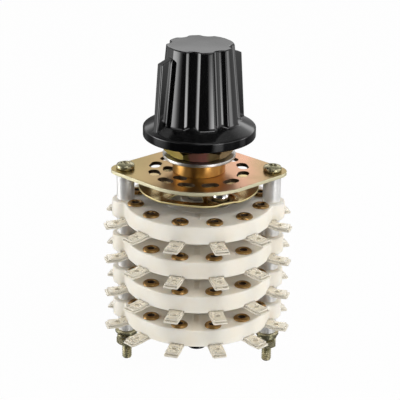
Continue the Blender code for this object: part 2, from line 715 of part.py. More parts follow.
def make_grub_screw(rotor):
    """Slotted grub screw that clamps the insert to the shaft."""
    inner = SHAFT_RADIUS + SEAT_GAP
    outer = inner + GRUB_LENGTH
    screw = turned("grub", [
        (0.0, outer), (GRUB_DIAMETER / 2, outer), (GRUB_DIAMETER / 2, inner + GRUB_DIAMETER / 4),
        (GRUB_DIAMETER / 4, inner), (0.0, inner)], SMALL_STEPS)
    slot = box("slot", (GRUB_DIAMETER * 2, GRUB_SLOT_WIDTH, 2 * GRUB_SLOT_DEPTH), (0.0, 0.0, outer))
    screw = boolean(screw, slot, 'DIFFERENCE')
    place(screw, Matrix.Rotation(math.pi / 2, 4, 'X'))
    place(screw, facing(grub_direction()) @ Matrix.Translation((0.0, 0.0, KNOB_BOTTOM + GRUB_RISE)))
    return finish(screw, "knob_grub_screw", STEEL, rotor)


# Wafers: ceramic ring with its twelve contacts
def contact(jaw_inner_radius):
    """One contact at the front of a wafer whose underside is at zero height: forked leaf and lug."""
    circle_radius = CONTACT_CIRCLE_DIAMETER / 2
    tip = WAFER_DIAMETER / 2 + LUG_REACH
    top = FUSE_OVERLAP
    thick = LEAF_THICKNESS
    lug_middle = top + LUG_RISE - LUG_THICKNESS / 2
    outline = [(circle_radius, top), (JAW_BACK_RADIUS, top), (JAW_BACK_RADIUS, top + JAW_SPACE + thick),
               (jaw_inner_radius, top + JAW_SPACE + thick), (jaw_inner_radius, top + JAW_SPACE),
               (JAW_BACK_RADIUS - thick, top + JAW_SPACE), (JAW_BACK_RADIUS - thick, top),
               (jaw_inner_radius, top), (jaw_inner_radius, top - thick), (circle_radius, top - thick)]
    leaf = flat("leaf", [outline], JAW_WIDTH / 2, -JAW_WIDTH / 2)
    place(leaf, Matrix.Rotation(-math.pi / 2, 4, 'Z') @ Matrix.Rotation(math.pi / 2, 4, 'X'))
    inner = circle_radius - LUG_WIDTH / 2
    lug = box("lug", (LUG_WIDTH, tip - inner, LUG_THICKNESS), (0.0, -(tip + inner) / 2, lug_middle))
    return boolean(leaf, lug, 'UNION')


def eyelet_flange():
    """The domed upper flange of one eyelet, on a wafer whose underside is at zero height."""
    top = WAFER_THICKNESS + EYELET_HEIGHT
    low = WAFER_THICKNESS - FUSE_OVERLAP
    return turned("flange", [
        (0.0, top), (EYELET_CROWN_DIAMETER / 2, top), (EYELET_DIAMETER / 2, WAFER_THICKNESS + EYELET_SIDE),
        (EYELET_DIAMETER / 2, low), (0.0, low)], TINY_STEPS)


def eyelet_hollow():
    """The mouth of one eyelet, which narrows to its bore."""
    top = WAFER_THICKNESS + EYELET_HEIGHT
    slope = (EYELET_MOUTH - EYELET_BORE) / 2 / EYELET_DEPTH
    over = EYELET_MOUTH / 2 + slope * FUSE_OVERLAP
    return turned("hollow", [
        (0.0, top + FUSE_OVERLAP), (over, top + FUSE_OVERLAP), (EYELET_BORE / 2, top - EYELET_DEPTH),
        (0.0, top - EYELET_DEPTH)], TINY_STEPS)


def wafer_ring():
    """The ceramic stator: a cup with a round hole for the rotor, open below, with an ear at each tie bolt."""
    rim = WAFER_DIAMETER / 2
    ring = turned("wafer", [
        (rim, WAFER_THICKNESS), (rim, 0.0), (CAVITY_RADIUS, 0.0), (CAVITY_RADIUS, WAFER_THICKNESS - WAFER_WEB),
        (WAFER_HOLE / 2, WAFER_THICKNESS - WAFER_WEB), (WAFER_HOLE / 2, WAFER_THICKNESS)], FINE_STEPS)
    ears = []
    holes = []
    for side in (-1, 1):
        shift = Matrix.Translation((side * TIE_SPACING / 2, 0.0, 0.0))
        ear = rod("ear", EAR_RADIUS, WAFER_THICKNESS, 0.0, MEDIUM_STEPS)
        ears.append(place(ear, shift))
        hole = rod("tie_hole", TIE_HOLE_RADIUS, WAFER_THICKNESS + SEAT_GAP, -SEAT_GAP, SMALL_STEPS)
        holes.append(place(hole, shift))
    ring = boolean_all(ring, ears, 'UNION')
    start = WAFER_HOLE / 2 - GROOVE_WIDTH
    end = WAFER_HOLE / 2 + GROOVE_LENGTH
    holes.append(box("groove", (GROOVE_WIDTH, end - start, 2 * GROOVE_DEPTH),
                     (0.0, -(start + end) / 2, WAFER_THICKNESS)))
    return boolean_all(ring, holes, 'DIFFERENCE')


def make_wafers():
    """Four like wafers; each ceramic ring carries its twelve riveted contacts."""
    step = FULL_TURN / CONTACT_COUNT
    ring = wafer_ring()
    contacts = []
    flanges = []
    hollows = []
    for index in range(CONTACT_COUNT):
        inner = COMMON_JAW_INNER_RADIUS if index == COMMON_CONTACT else JAW_INNER_RADIUS
        turn = facing((index + 0.5) * step)
        spot = turn @ Matrix.Translation((0.0, -CONTACT_CIRCLE_DIAMETER / 2, 0.0))
        contacts.append(place(contact(inner), turn))
        flanges.append(place(eyelet_flange(), spot))
        hollows.append(place(eyelet_hollow(), spot))
    ring = boolean_all(ring, contacts, 'UNION')
    ring = boolean_all(ring, flanges, 'UNION')
    ring = boolean_all(ring, hollows, 'DIFFERENCE')
    first = finish(ring, "wafer_1", CERAMIC)
    first.location = (0.0, 0.0, FIRST_WAFER_TOP - WAFER_THICKNESS)
    for index in range(1, WAFER_COUNT):
        underside = FIRST_WAFER_TOP - index * WAFER_PITCH - WAFER_THICKNESS
        copy_of(first, f"wafer_{index + 1}", (0.0, 0.0, underside))


# Rotors in the wafers
def make_rotors(rotor):
    """Ceramic rotors keyed to the shaft, each with a silvered blade ring under its flange."""
    blade_bottom = FUSE_OVERLAP + (JAW_SPACE - BLADE_THICKNESS) / 2
    blade_top = blade_bottom + BLADE_THICKNESS
    flange_bottom = blade_top + SEAT_GAP
    flange_top = WAFER_THICKNESS - WAFER_WEB - RUNNING_GAP
    boss = WAFER_HOLE / 2 - RUNNING_GAP
    hub = ROTOR_HUB_DIAMETER / 2
    hub_top = WAFER_THICKNESS + ROTOR_HUB_RISE
    body = turned("rotor", [
        (0.0, hub_top), (hub, hub_top), (hub, WAFER_THICKNESS), (boss, WAFER_THICKNESS), (boss, flange_top),
        (ROTOR_FLANGE_DIAMETER / 2, flange_top), (ROTOR_FLANGE_DIAMETER / 2, flange_bottom), (hub, flange_bottom),
        (hub, -ROTOR_HUB_DROP), (0.0, -ROTOR_HUB_DROP)], MEDIUM_STEPS)
    body = boolean(body, d_bore(hub_top, -ROTOR_HUB_DROP), 'DIFFERENCE')
    middle = BLADE_DIRECTION - math.pi / 2
    half = BLADE_TONGUE_ANGLE / 2
    outline = (arc((0.0, 0.0), TONGUE_RADIUS, middle - half, middle + half, 4)
               + arc((0.0, 0.0), BLADE_RADIUS, middle + half, middle - half + FULL_TURN, MEDIUM_STEPS))
    hole = circle((0.0, 0.0), hub + BLADE_TO_HUB, SMALL_STEPS)
    blade = flat("blade", [outline, hole], blade_top, blade_bottom)
    first_body = finish(body, "rotor_1", CERAMIC, rotor)
    first_blade = finish(blade, "rotor_blade_1", SILVER_PLATE, rotor)
    for index in range(WAFER_COUNT):
        spot = (0.0, 0.0, FIRST_WAFER_TOP - index * WAFER_PITCH - WAFER_THICKNESS)
        if index == 0:
            first_body.location = spot
            first_blade.location = spot
        else:
            copy_of(first_body, f"rotor_{index + 1}", spot, parent=rotor)
            copy_of(first_blade, f"rotor_blade_{index + 1}", spot, parent=rotor)


# Tie bolts with their spacers, washers and nuts
def both_sides(piece, name, look, height):
    """Places a finished piece at the left tie bolt and a copy of it at the right one."""
    left = finish(piece, f"{name}_left", look)
    left.location = (-TIE_SPACING / 2, 0.0, height)
    copy_of(left, f"{name}_right", (TIE_SPACING / 2, 0.0, height))


def make_tie_bolts():
    """Long pan-head screws with a cross recess."""
    head = TIE_HEAD_DIAMETER / 2
    seat = PLATE_TOP + SEAT_GAP
    bolt = turned("tie_bolt", [
        (0.0, seat + TIE_HEAD_HEIGHT), (head * 0.45, seat + TIE_HEAD_HEIGHT * 0.96),
        (head * 0.80, seat + TIE_HEAD_HEIGHT * 0.78), (head * 0.97, seat + TIE_HEAD_HEIGHT * 0.45),
        (head, seat + TIE_HEAD_HEIGHT * 0.2), (head, seat), (TIE_RADIUS, seat),
        (TIE_RADIUS, TIE_BOTTOM + SHAFT_CHAMFER), (TIE_RADIUS - SHAFT_CHAMFER, TIE_BOTTOM), (0.0, TIE_BOTTOM)],
        SMALL_STEPS)
    for size in ((TIE_RECESS_LENGTH, TIE_RECESS_WIDTH), (TIE_RECESS_WIDTH, TIE_RECESS_LENGTH)):
        arm = box("recess_arm", (*size, 2 * TIE_RECESS_DEPTH), (0.0, 0.0, seat + TIE_HEAD_HEIGHT))
        bolt = boolean(bolt, arm, 'DIFFERENCE')
    both_sides(bolt, "tie_bolt", YELLOW_ZINC, 0.0)


def make_spacers():
    """Aluminium tubes between the plate and the wafers, and below the last wafer."""
    radius = SPACER_DIAMETER / 2
    upper = tube("spacer", radius, TIE_HOLE_RADIUS, PLATE_BOTTOM - SEAT_GAP, FIRST_WAFER_TOP + SEAT_GAP,
                 SMALL_STEPS)
    both_sides(upper, "upper_spacer", ALUMINIUM, 0.0)
    between = WAFER_PITCH - WAFER_THICKNESS - 2 * SEAT_GAP
    for index in range(WAFER_COUNT):
        top = FIRST_WAFER_TOP - index * WAFER_PITCH - WAFER_THICKNESS - SEAT_GAP
        length = between if index < WAFER_COUNT - 1 else LOWER_SPACER_LENGTH
        piece = tube("spacer", radius, TIE_HOLE_RADIUS, 0.0, -length, SMALL_STEPS)
        both_sides(piece, f"spacer_{index + 1}", ALUMINIUM, top)


def spring_washer():
    """A split square-section ring that climbs a little, its lower end at zero height."""
    outer = SPRING_WASHER_DIAMETER / 2
    section = [(outer, SPRING_WASHER_THICKNESS), (outer, 0.0), (TIE_HOLE_RADIUS, 0.0),
               (TIE_HOLE_RADIUS, SPRING_WASHER_THICKNESS)]
    mesh = bpy.data.meshes.new("spring_washer")
    corners = [(radius, 0.0, height) for radius, height in section]
    mesh.from_pydata(corners, [(0, 1), (1, 2), (2, 3), (3, 0)], [])
    made = new_object("spring_washer", mesh, CUTTERS)
    screw = made.modifiers.new("coil", 'SCREW')
    screw.axis = 'Z'
    screw.angle = FULL_TURN - SPRING_WASHER_MOUTH
    screw.screw_offset = SPRING_WASHER_LIFT
    screw.steps = SMALL_STEPS
    screw.render_steps = SMALL_STEPS
    made = bake(made)
    work = bmesh.new()
    work.from_mesh(made.data)
    bmesh.ops.holes_fill(work, edges=[edge for edge in work.edges if edge.is_boundary], sides=4)
    bmesh.ops.recalc_face_normals(work, faces=work.faces)
    work.to_mesh(made.data)
    work.free()
    return made


def make_tie_ends():
    """Flat washer, spring washer and nut at the foot of each tie bolt."""
    washer_bottom = LAST_WAFER_BOTTOM - LOWER_SPACER_LENGTH - FLAT_WASHER_THICKNESS - 2 * SEAT_GAP
    washer = tube("flat_washer", FLAT_WASHER_DIAMETER / 2, TIE_HOLE_RADIUS, FLAT_WASHER_THICKNESS, 0.0,
                  SMALL_STEPS)
    both_sides(washer, "flat_washer", YELLOW_ZINC, washer_bottom)
    both_sides(spring_washer(), "spring_washer", YELLOW_ZINC, TIE_NUT_TOP + SEAT_GAP)
    nut = hex_nut("hex_nut", TIE_NUT_ACROSS_FLATS, TIE_NUT_HEIGHT, TIE_HOLE_RADIUS, TIE_NUT_CHAMFER,
                  math.radians(12))
    both_sides(nut, "hex_nut", YELLOW_ZINC, TIE_NUT_TOP - TIE_NUT_HEIGHT)


def main():
    """Builds the switch."""
    rotor = bpy.data.objects.new("rotor_axis", None)
    PARTS.objects.link(rotor)
    make_bushing()
    make_panel_washer()
    make_panel_nut()
    make_front_plate()
    make_shaft(rotor)
    make_shaft_clip(rotor)
    make_detent_disc(rotor)
    make_balls(rotor)
    make_knob(rotor)
    make_knob_insert(rotor)
    make_grub_screw(rotor)
    make_wafers()
    make_rotors(rotor)
    make_tie_bolts()
    make_spacers()
    make_tie_ends()


main()
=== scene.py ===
"""Detailed pieces, finishes and studio for the four-wafer rotary switch.

Lengths inside the shape functions are in millimetres; a finished mesh is in
metres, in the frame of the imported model: the origin is on the shaft's axis on
the bushing's shoulder, +Z runs up to the knob and -Y faces the camera.
"""
import math

import bpy
import numpy as np
from bpy.props import FloatProperty, FloatVectorProperty, PointerProperty
from mathutils import Matrix, Vector


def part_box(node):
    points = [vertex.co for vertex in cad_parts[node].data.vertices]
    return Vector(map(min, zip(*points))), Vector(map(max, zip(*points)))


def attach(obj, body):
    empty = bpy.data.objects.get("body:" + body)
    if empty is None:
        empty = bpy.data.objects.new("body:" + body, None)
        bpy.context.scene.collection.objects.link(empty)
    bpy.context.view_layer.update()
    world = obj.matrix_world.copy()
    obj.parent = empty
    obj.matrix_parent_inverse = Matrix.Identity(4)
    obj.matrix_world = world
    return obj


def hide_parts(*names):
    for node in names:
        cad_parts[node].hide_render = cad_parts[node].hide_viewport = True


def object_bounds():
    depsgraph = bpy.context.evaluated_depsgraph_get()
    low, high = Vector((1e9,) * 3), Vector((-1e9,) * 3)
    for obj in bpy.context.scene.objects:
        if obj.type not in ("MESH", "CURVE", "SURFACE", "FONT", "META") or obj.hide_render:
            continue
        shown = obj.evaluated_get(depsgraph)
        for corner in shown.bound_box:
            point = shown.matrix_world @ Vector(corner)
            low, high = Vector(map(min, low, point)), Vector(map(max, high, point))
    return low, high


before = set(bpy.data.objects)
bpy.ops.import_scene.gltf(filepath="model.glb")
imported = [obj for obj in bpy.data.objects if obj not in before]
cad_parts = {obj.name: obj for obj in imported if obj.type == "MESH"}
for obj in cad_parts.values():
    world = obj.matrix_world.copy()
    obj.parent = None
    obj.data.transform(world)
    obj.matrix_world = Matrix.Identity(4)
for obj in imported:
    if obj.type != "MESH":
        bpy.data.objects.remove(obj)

bl_info = {
    "name": "Wafer rotary switch",
    "version": (1, 0, 0),
    "blender": (4, 5, 0),
    "location": "3D View > Sidebar > Switch",
    "description": "Makes the detailed pieces, the finishes and the studio of a ceramic wafer switch",
    "category": "Object",
}

CAD_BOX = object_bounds()
TAU = 2 * np.pi
SIDES = ("left", "right")
WAFERS = (1, 2, 3, 4)
CONTACTS = 12
COMMON = 6
FLUTINGS = 8
CONTACT_ANGLES = (np.arange(CONTACTS) + 0.5) * TAU / CONTACTS
PHOTOGRAPHED_CONTACT = math.radians(15)


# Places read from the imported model
def low(node):
    """Lowest corner of a node, in millimetres."""
    return np.array(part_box(node)[0]) * 1000.0


def high(node):
    """Highest corner of a node, in millimetres."""
    return np.array(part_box(node)[1]) * 1000.0


def centre(node):
    """Middle of a node's box, in millimetres."""
    return (low(node) + high(node)) / 2


# Sizes and colours that a user would change
def length(name, description, default):
    """A length property whose default is given in millimetres."""
    return FloatProperty(name=name, description=description, default=default / 1000.0, unit='LENGTH',
                         precision=5)


def colour(name, description, default):
    """A linear colour property."""
    return FloatVectorProperty(name=name, description=description, default=default, size=3, subtype='COLOR',
                               min=0.0, max=1.0)


class KnobSizes(bpy.types.PropertyGroup):
    top_radius: length("Top radius", "Radius of the knob's flat top", 9.65)
    foot_radius: length("Foot radius", "Radius of the lobes where they meet the skirt's plane", 12.0)
    flute_radius: length("Flute radius", "Radius of the round flutes", 3.0)
    flute_depth: length("Flute depth", "Depth of a flute below the lobes", 1.1)
    fin_width: length("Fin width", "Thickness of a grip fin", 2.3)
    fin_top: length("Fin reach at the top", "Distance from the axis to a fin's face at its shoulder", 13.5)
    fin_foot: length("Fin reach at the foot", "Distance from the axis to a fin's face at the skirt", 15.0)
    fin_drop: length("Fin drop", "How far a fin's shoulder lies below the knob's top", 4.1)
    ramp_rise: length("Ramp rise", "Rise of the slope on top of a fin", 1.3)
    ramp_run: length("Ramp run", "Run of the slope on top of a fin", 3.4)
    skirt_radius: length("Skirt radius", "Radius of the skirt's rim", 16.3)
    rim_height: length("Rim height", "Height of the skirt's upright rim", 2.75)
    fillet: length("Foot fillet", "Rounding where the body meets the skirt", 0.8)
    edge: length("Edge rounding", "Rounding of the knob's edges", 0.4)


class WaferSizes(bpy.types.PropertyGroup):
    radius: length("Radius", "Radius of the ceramic ring", 21.9)
    ear_radius: length("Ear radius", "Radius of the ears at the tie bolts", 4.2)
    ear_blend: length("Ear blend", "Rounding where an ear meets the ring", 1.1)
    cavity: length("Cavity radius", "Radius of the cavity below the web", 15.4)
    hole: length("Rotor hole radius", "Radius of the hole for the rotor", 10.6)
    web: length("Web", "Thickness of the ceramic above the cavity", 2.0)
    edge: length("Edge rounding", "Rounding of the ceramic's edges", 0.45)
    contact_circle: length("Contact circle", "Radius of the circle of the eyelets", 18.8)
    eyelet_radius: length("Eyelet radius", "Radius of an eyelet's flange", 2.45)
    eyelet_height: length("Eyelet height", "Height of an eyelet's flange", 0.9)
    lug_width: length("Lug width", "Width of a solder lug", 4.2)
    lug_reach: length("Lug reach", "Distance from the axis to a lug's end", 28.05)
    lug_rise: length("Lug rise", "Height of a lug's upper face above the ceramic's underside", 0.6)
    lug_drop: length("Lug drop", "Depth of a lug's lower face below the ceramic's underside", 0.6)


class HardwareSizes(bpy.types.PropertyGroup):
    bushing_radius: length("Bushing radius", "Radius of the bushing's thread", 6.0)
    bushing_pitch: length("Bushing pitch", "Pitch of the bushing's thread", 0.75)
    shoulder_radius: length("Shoulder radius", "Radius of the bushing's shoulder", 7.7)
    washer_radius: length("Panel washer radius", "Radius of the panel washer", 10.6)
    nut_flats: length("Panel nut flats", "Width of the panel nut across its flats", 18.0)
    index_circle: length("Index circle", "Radius of the circle of the index slots", 13.2)
    index_long: length("Index slot length", "Length of an index slot", 5.0)
    index_wide: length("Index slot width", "Width of an index slot", 3.1)
    stop_circle: length("Stop circle", "Radius of the circle of the stop slots", 9.0)
    stop_long: length("Stop slot length", "Length of a stop slot", 4.3)
    stop_wide: length("Stop slot width", "Width of a stop slot", 2.8)
    bolt_radius: length("Tie bolt radius", "Radius of a tie bolt", 1.5)
    bolt_pitch: length("Tie bolt pitch", "Pitch of a tie bolt's thread", 0.635)
    bolt_nut_flats: length("Tie bolt nut flats", "Width of a tie bolt's nut across its flats", 5.5)
    spacer_radius: length("Spacer radius", "Outer radius of a spacer", 2.6)
    spacer_bore: length("Spacer bore", "Radius of a spacer's bore", 1.65)


class FinishColours(bpy.types.PropertyGroup):
    resin: colour("Knob resin", "Black glossy resin of the knob", (0.0022, 0.0022, 0.0025))
    plate: colour("Plate", "Tan passivated zinc of the front plate", (0.36, 0.225, 0.115))
    plate_edge: colour("Plate edge", "Paler tone of the front plate's cut edges", (0.74, 0.69, 0.47))
    brass: colour("Brass", "Turned brass of the bushing", (0.76, 0.43, 0.125))
    nut: colour("Panel nut", "Olive-brown plating of the panel nut", (0.36, 0.28, 0.12))
    # The bloom's red, made lighter as painted light on the panel nut's front face.
    nut_bloom_and_light: colour("Panel nut bloom and light", "Reddish bloom on the panel nut", (0.52, 0.20, 0.17))
    nickel: colour("Nickel", "Bright nickel of the panel washer", (0.76, 0.75, 0.72))
    gold: colour("Detent disc", "Gold passivated detent disc", (0.66, 0.50, 0.22))
    ceramic: colour("Ceramic", "Warm white ceramic of the wafers", (0.89, 0.842, 0.748))
    eyelet: colour("Eyelets", "Aged brass of the eyelets", (0.48, 0.29, 0.11))
    silver: colour("Contacts", "Tinned contacts and lugs", (0.86, 0.81, 0.70))
    aluminium: colour("Spacers", "Drawn aluminium tube", (0.92, 0.91, 0.89))
    zinc: colour("Yellow zinc", "Greenish yellow zinc of the bolts and nuts", (0.58, 0.52, 0.33))
    steel: colour("Steel", "Bright steel of the shaft and the balls", (0.60, 0.59, 0.57))


def mm(value):
    """A stored length in millimetres."""
    return value * 1000.0


# Surfaces on grids of points
def grid(rows, close_rows=False):
    """Quads over rows of points; a first or last row drawn together in one point becomes a fan.

    Row i, column j is joined to its neighbours i + 1 and j + 1. Rows run down
    the outer side of a shape and columns run anticlockwise seen from above.
    """
    rows = np.asarray(rows, dtype=float)
    pole_first = not close_rows and np.ptp(rows[0], axis=0).max() < 1e-7
    pole_last = not close_rows and np.ptp(rows[-1], axis=0).max() < 1e-7
    body = rows[int(pole_first):len(rows) - int(pole_last)]
    count, width = body.shape[:2]
    index = np.arange(count * width).reshape(count, width)
    if close_rows:
        index = np.vstack([index, index[:1]])
    index = np.hstack([index, index[:, :1]])
    quads = np.stack([index[:-1, :-1], index[1:, :-1], index[1:, 1:], index[:-1, 1:]], -1).reshape(-1, 4)
    points = body.reshape(-1, 3)
    fans = []
    if pole_first:
        pole = np.full(index.shape[1] - 1, len(points))
        points = np.vstack([points, rows[0, :1]])
        fans.append(np.stack([pole, index[0, :-1], index[0, 1:]], -1))
    if pole_last:
        pole = np.full(index.shape[1] - 1, len(points))
        points = np.vstack([points, rows[-1, :1]])
        fans.append(np.stack([pole, index[-1, 1:], index[-1, :-1]], -1))
    fans = np.vstack(fans) if fans else np.zeros((0, 3), int)
    return points, quads, fans


def moved(surface, offset):
    """The same surface shifted by an offset."""
    points, quads, fans = surface
    return points + np.asarray(offset, dtype=float), quads, fans


def turned_to(surface, angles):
    """Copies of a surface turned about Z: each point's X and Y go through the rotation of every angle."""
    points, quads, fans = surface
    angles = np.atleast_1d(angles)
    c, s = np.cos(angles)[:, None], np.sin(angles)[:, None]
    x, y, z = points.T
    copies = np.stack([c * x - s * y, s * x + c * y, np.broadcast_to(z, (len(angles), len(z)))], -1)
    step = (np.arange(len(angles)) * len(points))[:, None, None]
    return copies.reshape(-1, 3), (quads[None] + step).reshape(-1, 4), (fans[None] + step).reshape(-1, 3)


def fill_mesh(mesh, surfaces):
    """Puts several surfaces, given in millimetres, into one mesh."""
    points, loops, starts, used, at = [], [], [], 0, 0
    for verts, quads, fans in surfaces:
        points.append(verts)
        for faces in (quads, fans):
            if len(faces):
                size = faces.shape[1]
                loops.append((faces + used).ravel())
                starts.append(at + np.arange(len(faces)) * size)
                at += faces.size
        used += len(verts)
    points = np.vstack(points) / 1000.0
    loops = np.concatenate(loops)
    starts = np.concatenate(starts)
    mesh.vertices.add(len(points))
    mesh.vertices.foreach_set("co", points.ravel())
    mesh.loops.add(len(loops))
    mesh.loops.foreach_set("vertex_index", loops)
    mesh.polygons.add(len(starts))
    mesh.polygons.foreach_set("loop_start", starts)
    mesh.update(calc_edges=True)
    mesh.validate()


def piece(name, surfaces, material, body, nodes=(), sharp=34.0):
    """A finished piece: its mesh, its material, the body it rides on and the nodes it stands for."""
    mesh = bpy.data.meshes.new(name)
    fill_mesh(mesh, surfaces)
    mesh.shade_smooth()
    mesh.set_sharp_from_angle(angle=math.radians(sharp))
    made = bpy.data.objects.new(name, mesh)
    bpy.context.scene.collection.objects.link(made)
    return dress(made, material, body, nodes)


def dress(made, material, body, nodes=()):
    """Gives an object its material and body, and hides the nodes it stands for."""
    made.data.materials.clear()
    made.data.materials.append(material)
    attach(made, body)
    if nodes:
        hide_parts(*nodes)
    return made


def soften(corners, radius, closed=True, steps=4):
    """Rounds the corners of a line of points.

    Each corner P between A and B becomes the curve (1-t)^2 P1 + 2t(1-t) P + t^2 P2,
    where P1 and P2 lie on PA and PB at the radius; one more point on each side keeps
    the neighbouring flat flat. Ends of an open line stay.
    """
    corners = np.asarray(corners, dtype=float)
    before, after = np.roll(corners, 1, axis=0), np.roll(corners, -1, axis=0)
    to_before, to_after = before - corners, after - corners
    long_before = np.linalg.norm(to_before, axis=1, keepdims=True)
    long_after = np.linalg.norm(to_after, axis=1, keepdims=True)
    reach = np.minimum(np.full_like(long_before, radius), 0.42 * np.minimum(long_before, long_after))
    first = corners + to_before / np.maximum(long_before, 1e-9) * reach
    last = corners + to_after / np.maximum(long_after, 1e-9) * reach
    t = np.linspace(0.0, 1.0, steps + 1)[None, :, None]
    curve = (1 - t) ** 2 * first[:, None] + 2 * t * (1 - t) * corners[:, None] + t ** 2 * last[:, None]
    lead = first + (first - corners) * 0.15
    trail = last + (last - corners) * 0.15
    rounded = np.concatenate([lead[:, None], curve, trail[:, None]], axis=1)
    if closed:
        return rounded.reshape(-1, corners.shape[1])
    middle = rounded[1:-1].reshape(-1, corners.shape[1])
    return np.vstack([corners[:1], middle, corners[-1:]])


def around(columns):
    """Evenly spaced angles round a full turn."""
    return np.linspace(0.0, TAU, columns, endpoint=False)


def ring_rows(profile, columns):
    """Rows of points for a profile of (radius, height)."""
    profile = np.asarray(profile, dtype=float)
    a = around(columns)[None, :]
    x = profile[:, :1] * np.cos(a)
    y = profile[:, :1] * np.sin(a)
    return np.stack([x, y, np.broadcast_to(profile[:, 1:], x.shape)], -1)


def turn(profile, columns, closed=False, flat=None):
    """A profile of (radius, height) turned about Z: x = r cos a, y = r sin a; flat cuts it at a largest y."""
    rows = ring_rows(profile, columns)
    if flat is not None:
        rows[..., 1] = np.minimum(rows[..., 1], np.asarray(flat, dtype=float).reshape(-1, 1))
    return grid(rows, close_rows=closed)


def carry(path, section, side):
    """A section of (side, normal) points carried along a path, with both ends closed.

    Each row is the path's point plus the section's first value times the side
    direction and its second value times the normal, the cross product of side and tangent.
    """
    path = np.asarray(path, dtype=float)
    section = np.asarray(section, dtype=float)
    tangent = np.gradient(path, axis=0)
    tangent /= np.linalg.norm(tangent, axis=1, keepdims=True)
    side = np.broadcast_to(np.asarray(side, dtype=float), path.shape)
    normal = np.cross(side, tangent)
    rows = path[:, None] + section[None, :, :1] * side[:, None] + section[None, :, 1:] * normal[:, None]
    ends = [np.broadcast_to(rows[i].mean(axis=0), rows[i].shape) for i in (0, -1)]
    return grid(np.concatenate([ends[0][None], rows, ends[1][None]]))


def bar_section(width, thickness, edge):
    """A rounded rectangle, anticlockwise."""
    w, t = width / 2, thickness / 2
    return soften([(-w, -t), (w, -t), (w, t), (-w, t)], edge, steps=2)


def slab(outline, hole, top, bottom, edge):
    """A flat piece between an outline and a round or other hole with as many points.

    Rows run from the hole over the top, round the outer edge, back under the
    bottom and up the hole's wall; near an edge the outline is drawn in by
    e (1 - sin a) while the height falls by e (1 - cos a).
    """
    outline = np.asarray(outline, dtype=float)
    hole = np.asarray(hole, dtype=float)
    tangent = np.roll(outline, -1, axis=0) - np.roll(outline, 1, axis=0)
    normal = np.stack([tangent[:, 1], -tangent[:, 0]], -1)
    normal /= np.linalg.norm(normal, axis=1, keepdims=True)
    bend = np.linspace(0.0, np.pi / 2, 5)
    inset = np.concatenate([[edge * 1.3], edge * (1 - np.sin(bend))])
    fall = np.concatenate([[0.0], edge * (1 - np.cos(bend))])
    across = (outline - normal * inset[0]) - hole
    rows = [(hole + across * share, top) for share in (0.0, 0.03, 0.5)]
    rows += [(outline - normal * d, top - h) for d, h in zip(inset, fall)]
    rows += [(outline - normal * d, bottom + h) for d, h in zip(inset[::-1], fall[::-1])]
    rows += [(hole + across * share, bottom) for share in (0.5, 0.03, 0.0)]
    rows = [np.column_stack([points, np.full(len(points), height)]) for points, height in rows]
    return grid(np.array(rows), close_rows=True)


def screw_thread(radius, depth, pitch, top, bottom, columns, per_turn):
    """Rows of a thread's outside, from top to bottom: r = R - depth |2 frac(z / pitch - a / 2pi) - 1|."""
    a = around(columns)[None, :]
    z = np.linspace(top, bottom, max(3, int(abs(top - bottom) / pitch * per_turn)))[:, None]
    phase = np.mod(z / pitch - a / TAU, 1.0)
    r = radius - depth * np.abs(2 * phase - 1)
    return np.stack([r * np.cos(a), r * np.sin(a), np.broadcast_to(z, r.shape)], -1)


def hexagon_nut(flats, top, bottom, bore, chamfer, start, columns):
    """A nut: the hexagon h(a) = flats / 2 / cos(a mod 60 - 30) meets a cone of 30 degrees above and below."""
    a = around(columns)
    h = flats / 2 / np.cos(np.mod(a, np.pi / 3) - np.pi / 6)
    a = a + start
    inner = flats / 2 - chamfer
    cone = inner + (h - inner)[None] * np.linspace(0.0, 1.0, 5)[:, None]
    drop = (cone - inner) * math.tan(math.radians(30))
    lip = 0.12 * bore
    even = np.ones_like(h)
    rows = [(bore * even, top - lip), ((bore + lip) * even, top), ((inner - 0.05) * even, top)]
    rows += [(r, top - d) for r, d in zip(cone, drop)]
    rows += [(h, bottom + drop[-1] + (top - bottom - 2 * drop[-1]) * s) for s in (0.96, 0.5, 0.04)]
    rows += [(r, bottom + d) for r, d in zip(cone[::-1], drop[::-1])]
    rows += [((inner - 0.05) * even, bottom), ((bore + lip) * even, bottom), (bore * even, bottom + lip)]
    rows = [np.column_stack([r * np.cos(a), r * np.sin(a), z * even]) for r, z in rows]
    return grid(np.array(rows), close_rows=True)


# Effects shared by the materials
def group_sockets(name, inputs, outputs):
    """An empty shader group with its named sockets; returns the group, its nodes and its in and out nodes."""
    group = bpy.data.node_groups.new(name, "ShaderNodeTree")
    for label, kind, default in inputs:
        socket = group.interface.new_socket(name=label, in_out='INPUT', socket_type=kind)
        socket.default_value = default
    for label, kind in outputs:
        group.interface.new_socket(name=label, in_out='OUTPUT', socket_type=kind)
    return group, group.nodes.new("NodeGroupInput"), group.nodes.new("NodeGroupOutput")


def maths(tree, operation, a, b=None, c=None, clamp=False):
    """One Math node; inputs may be sockets or numbers."""
    node = tree.nodes.new("ShaderNodeMath")
    node.operation = operation
    node.use_clamp = clamp
    for slot_index, value in enumerate((a, b, c)):
        if value is None:
            continue
        if isinstance(value, bpy.types.NodeSocket):
            tree.links.new(value, node.inputs[slot_index])
        else:
            node.inputs[slot_index].default_value = value
    return node.outputs[0]


def own_place(tree):
    """The place on the object, the same in every render."""
    return tree.nodes.new("ShaderNodeTexCoord").outputs["Object"]


def parts_of(tree, vector):
    """The X, Y and Z of a vector."""
    node = tree.nodes.new("ShaderNodeSeparateXYZ")
    tree.links.new(vector, node.inputs[0])
    return node.outputs


def noise(tree, vector, scale, detail=3.0, roughness=0.55):
    """One Noise texture's value."""
    node = tree.nodes.new("ShaderNodeTexNoise")
    node.inputs["Detail"].default_value = detail
    node.inputs["Roughness"].default_value = roughness
    tree.links.new(vector, node.inputs["Vector"])
    if isinstance(scale, bpy.types.NodeSocket):
        tree.links.new(scale, node.inputs["Scale"])
    else:
        node.inputs["Scale"].default_value = scale
    return node.outputs[0]


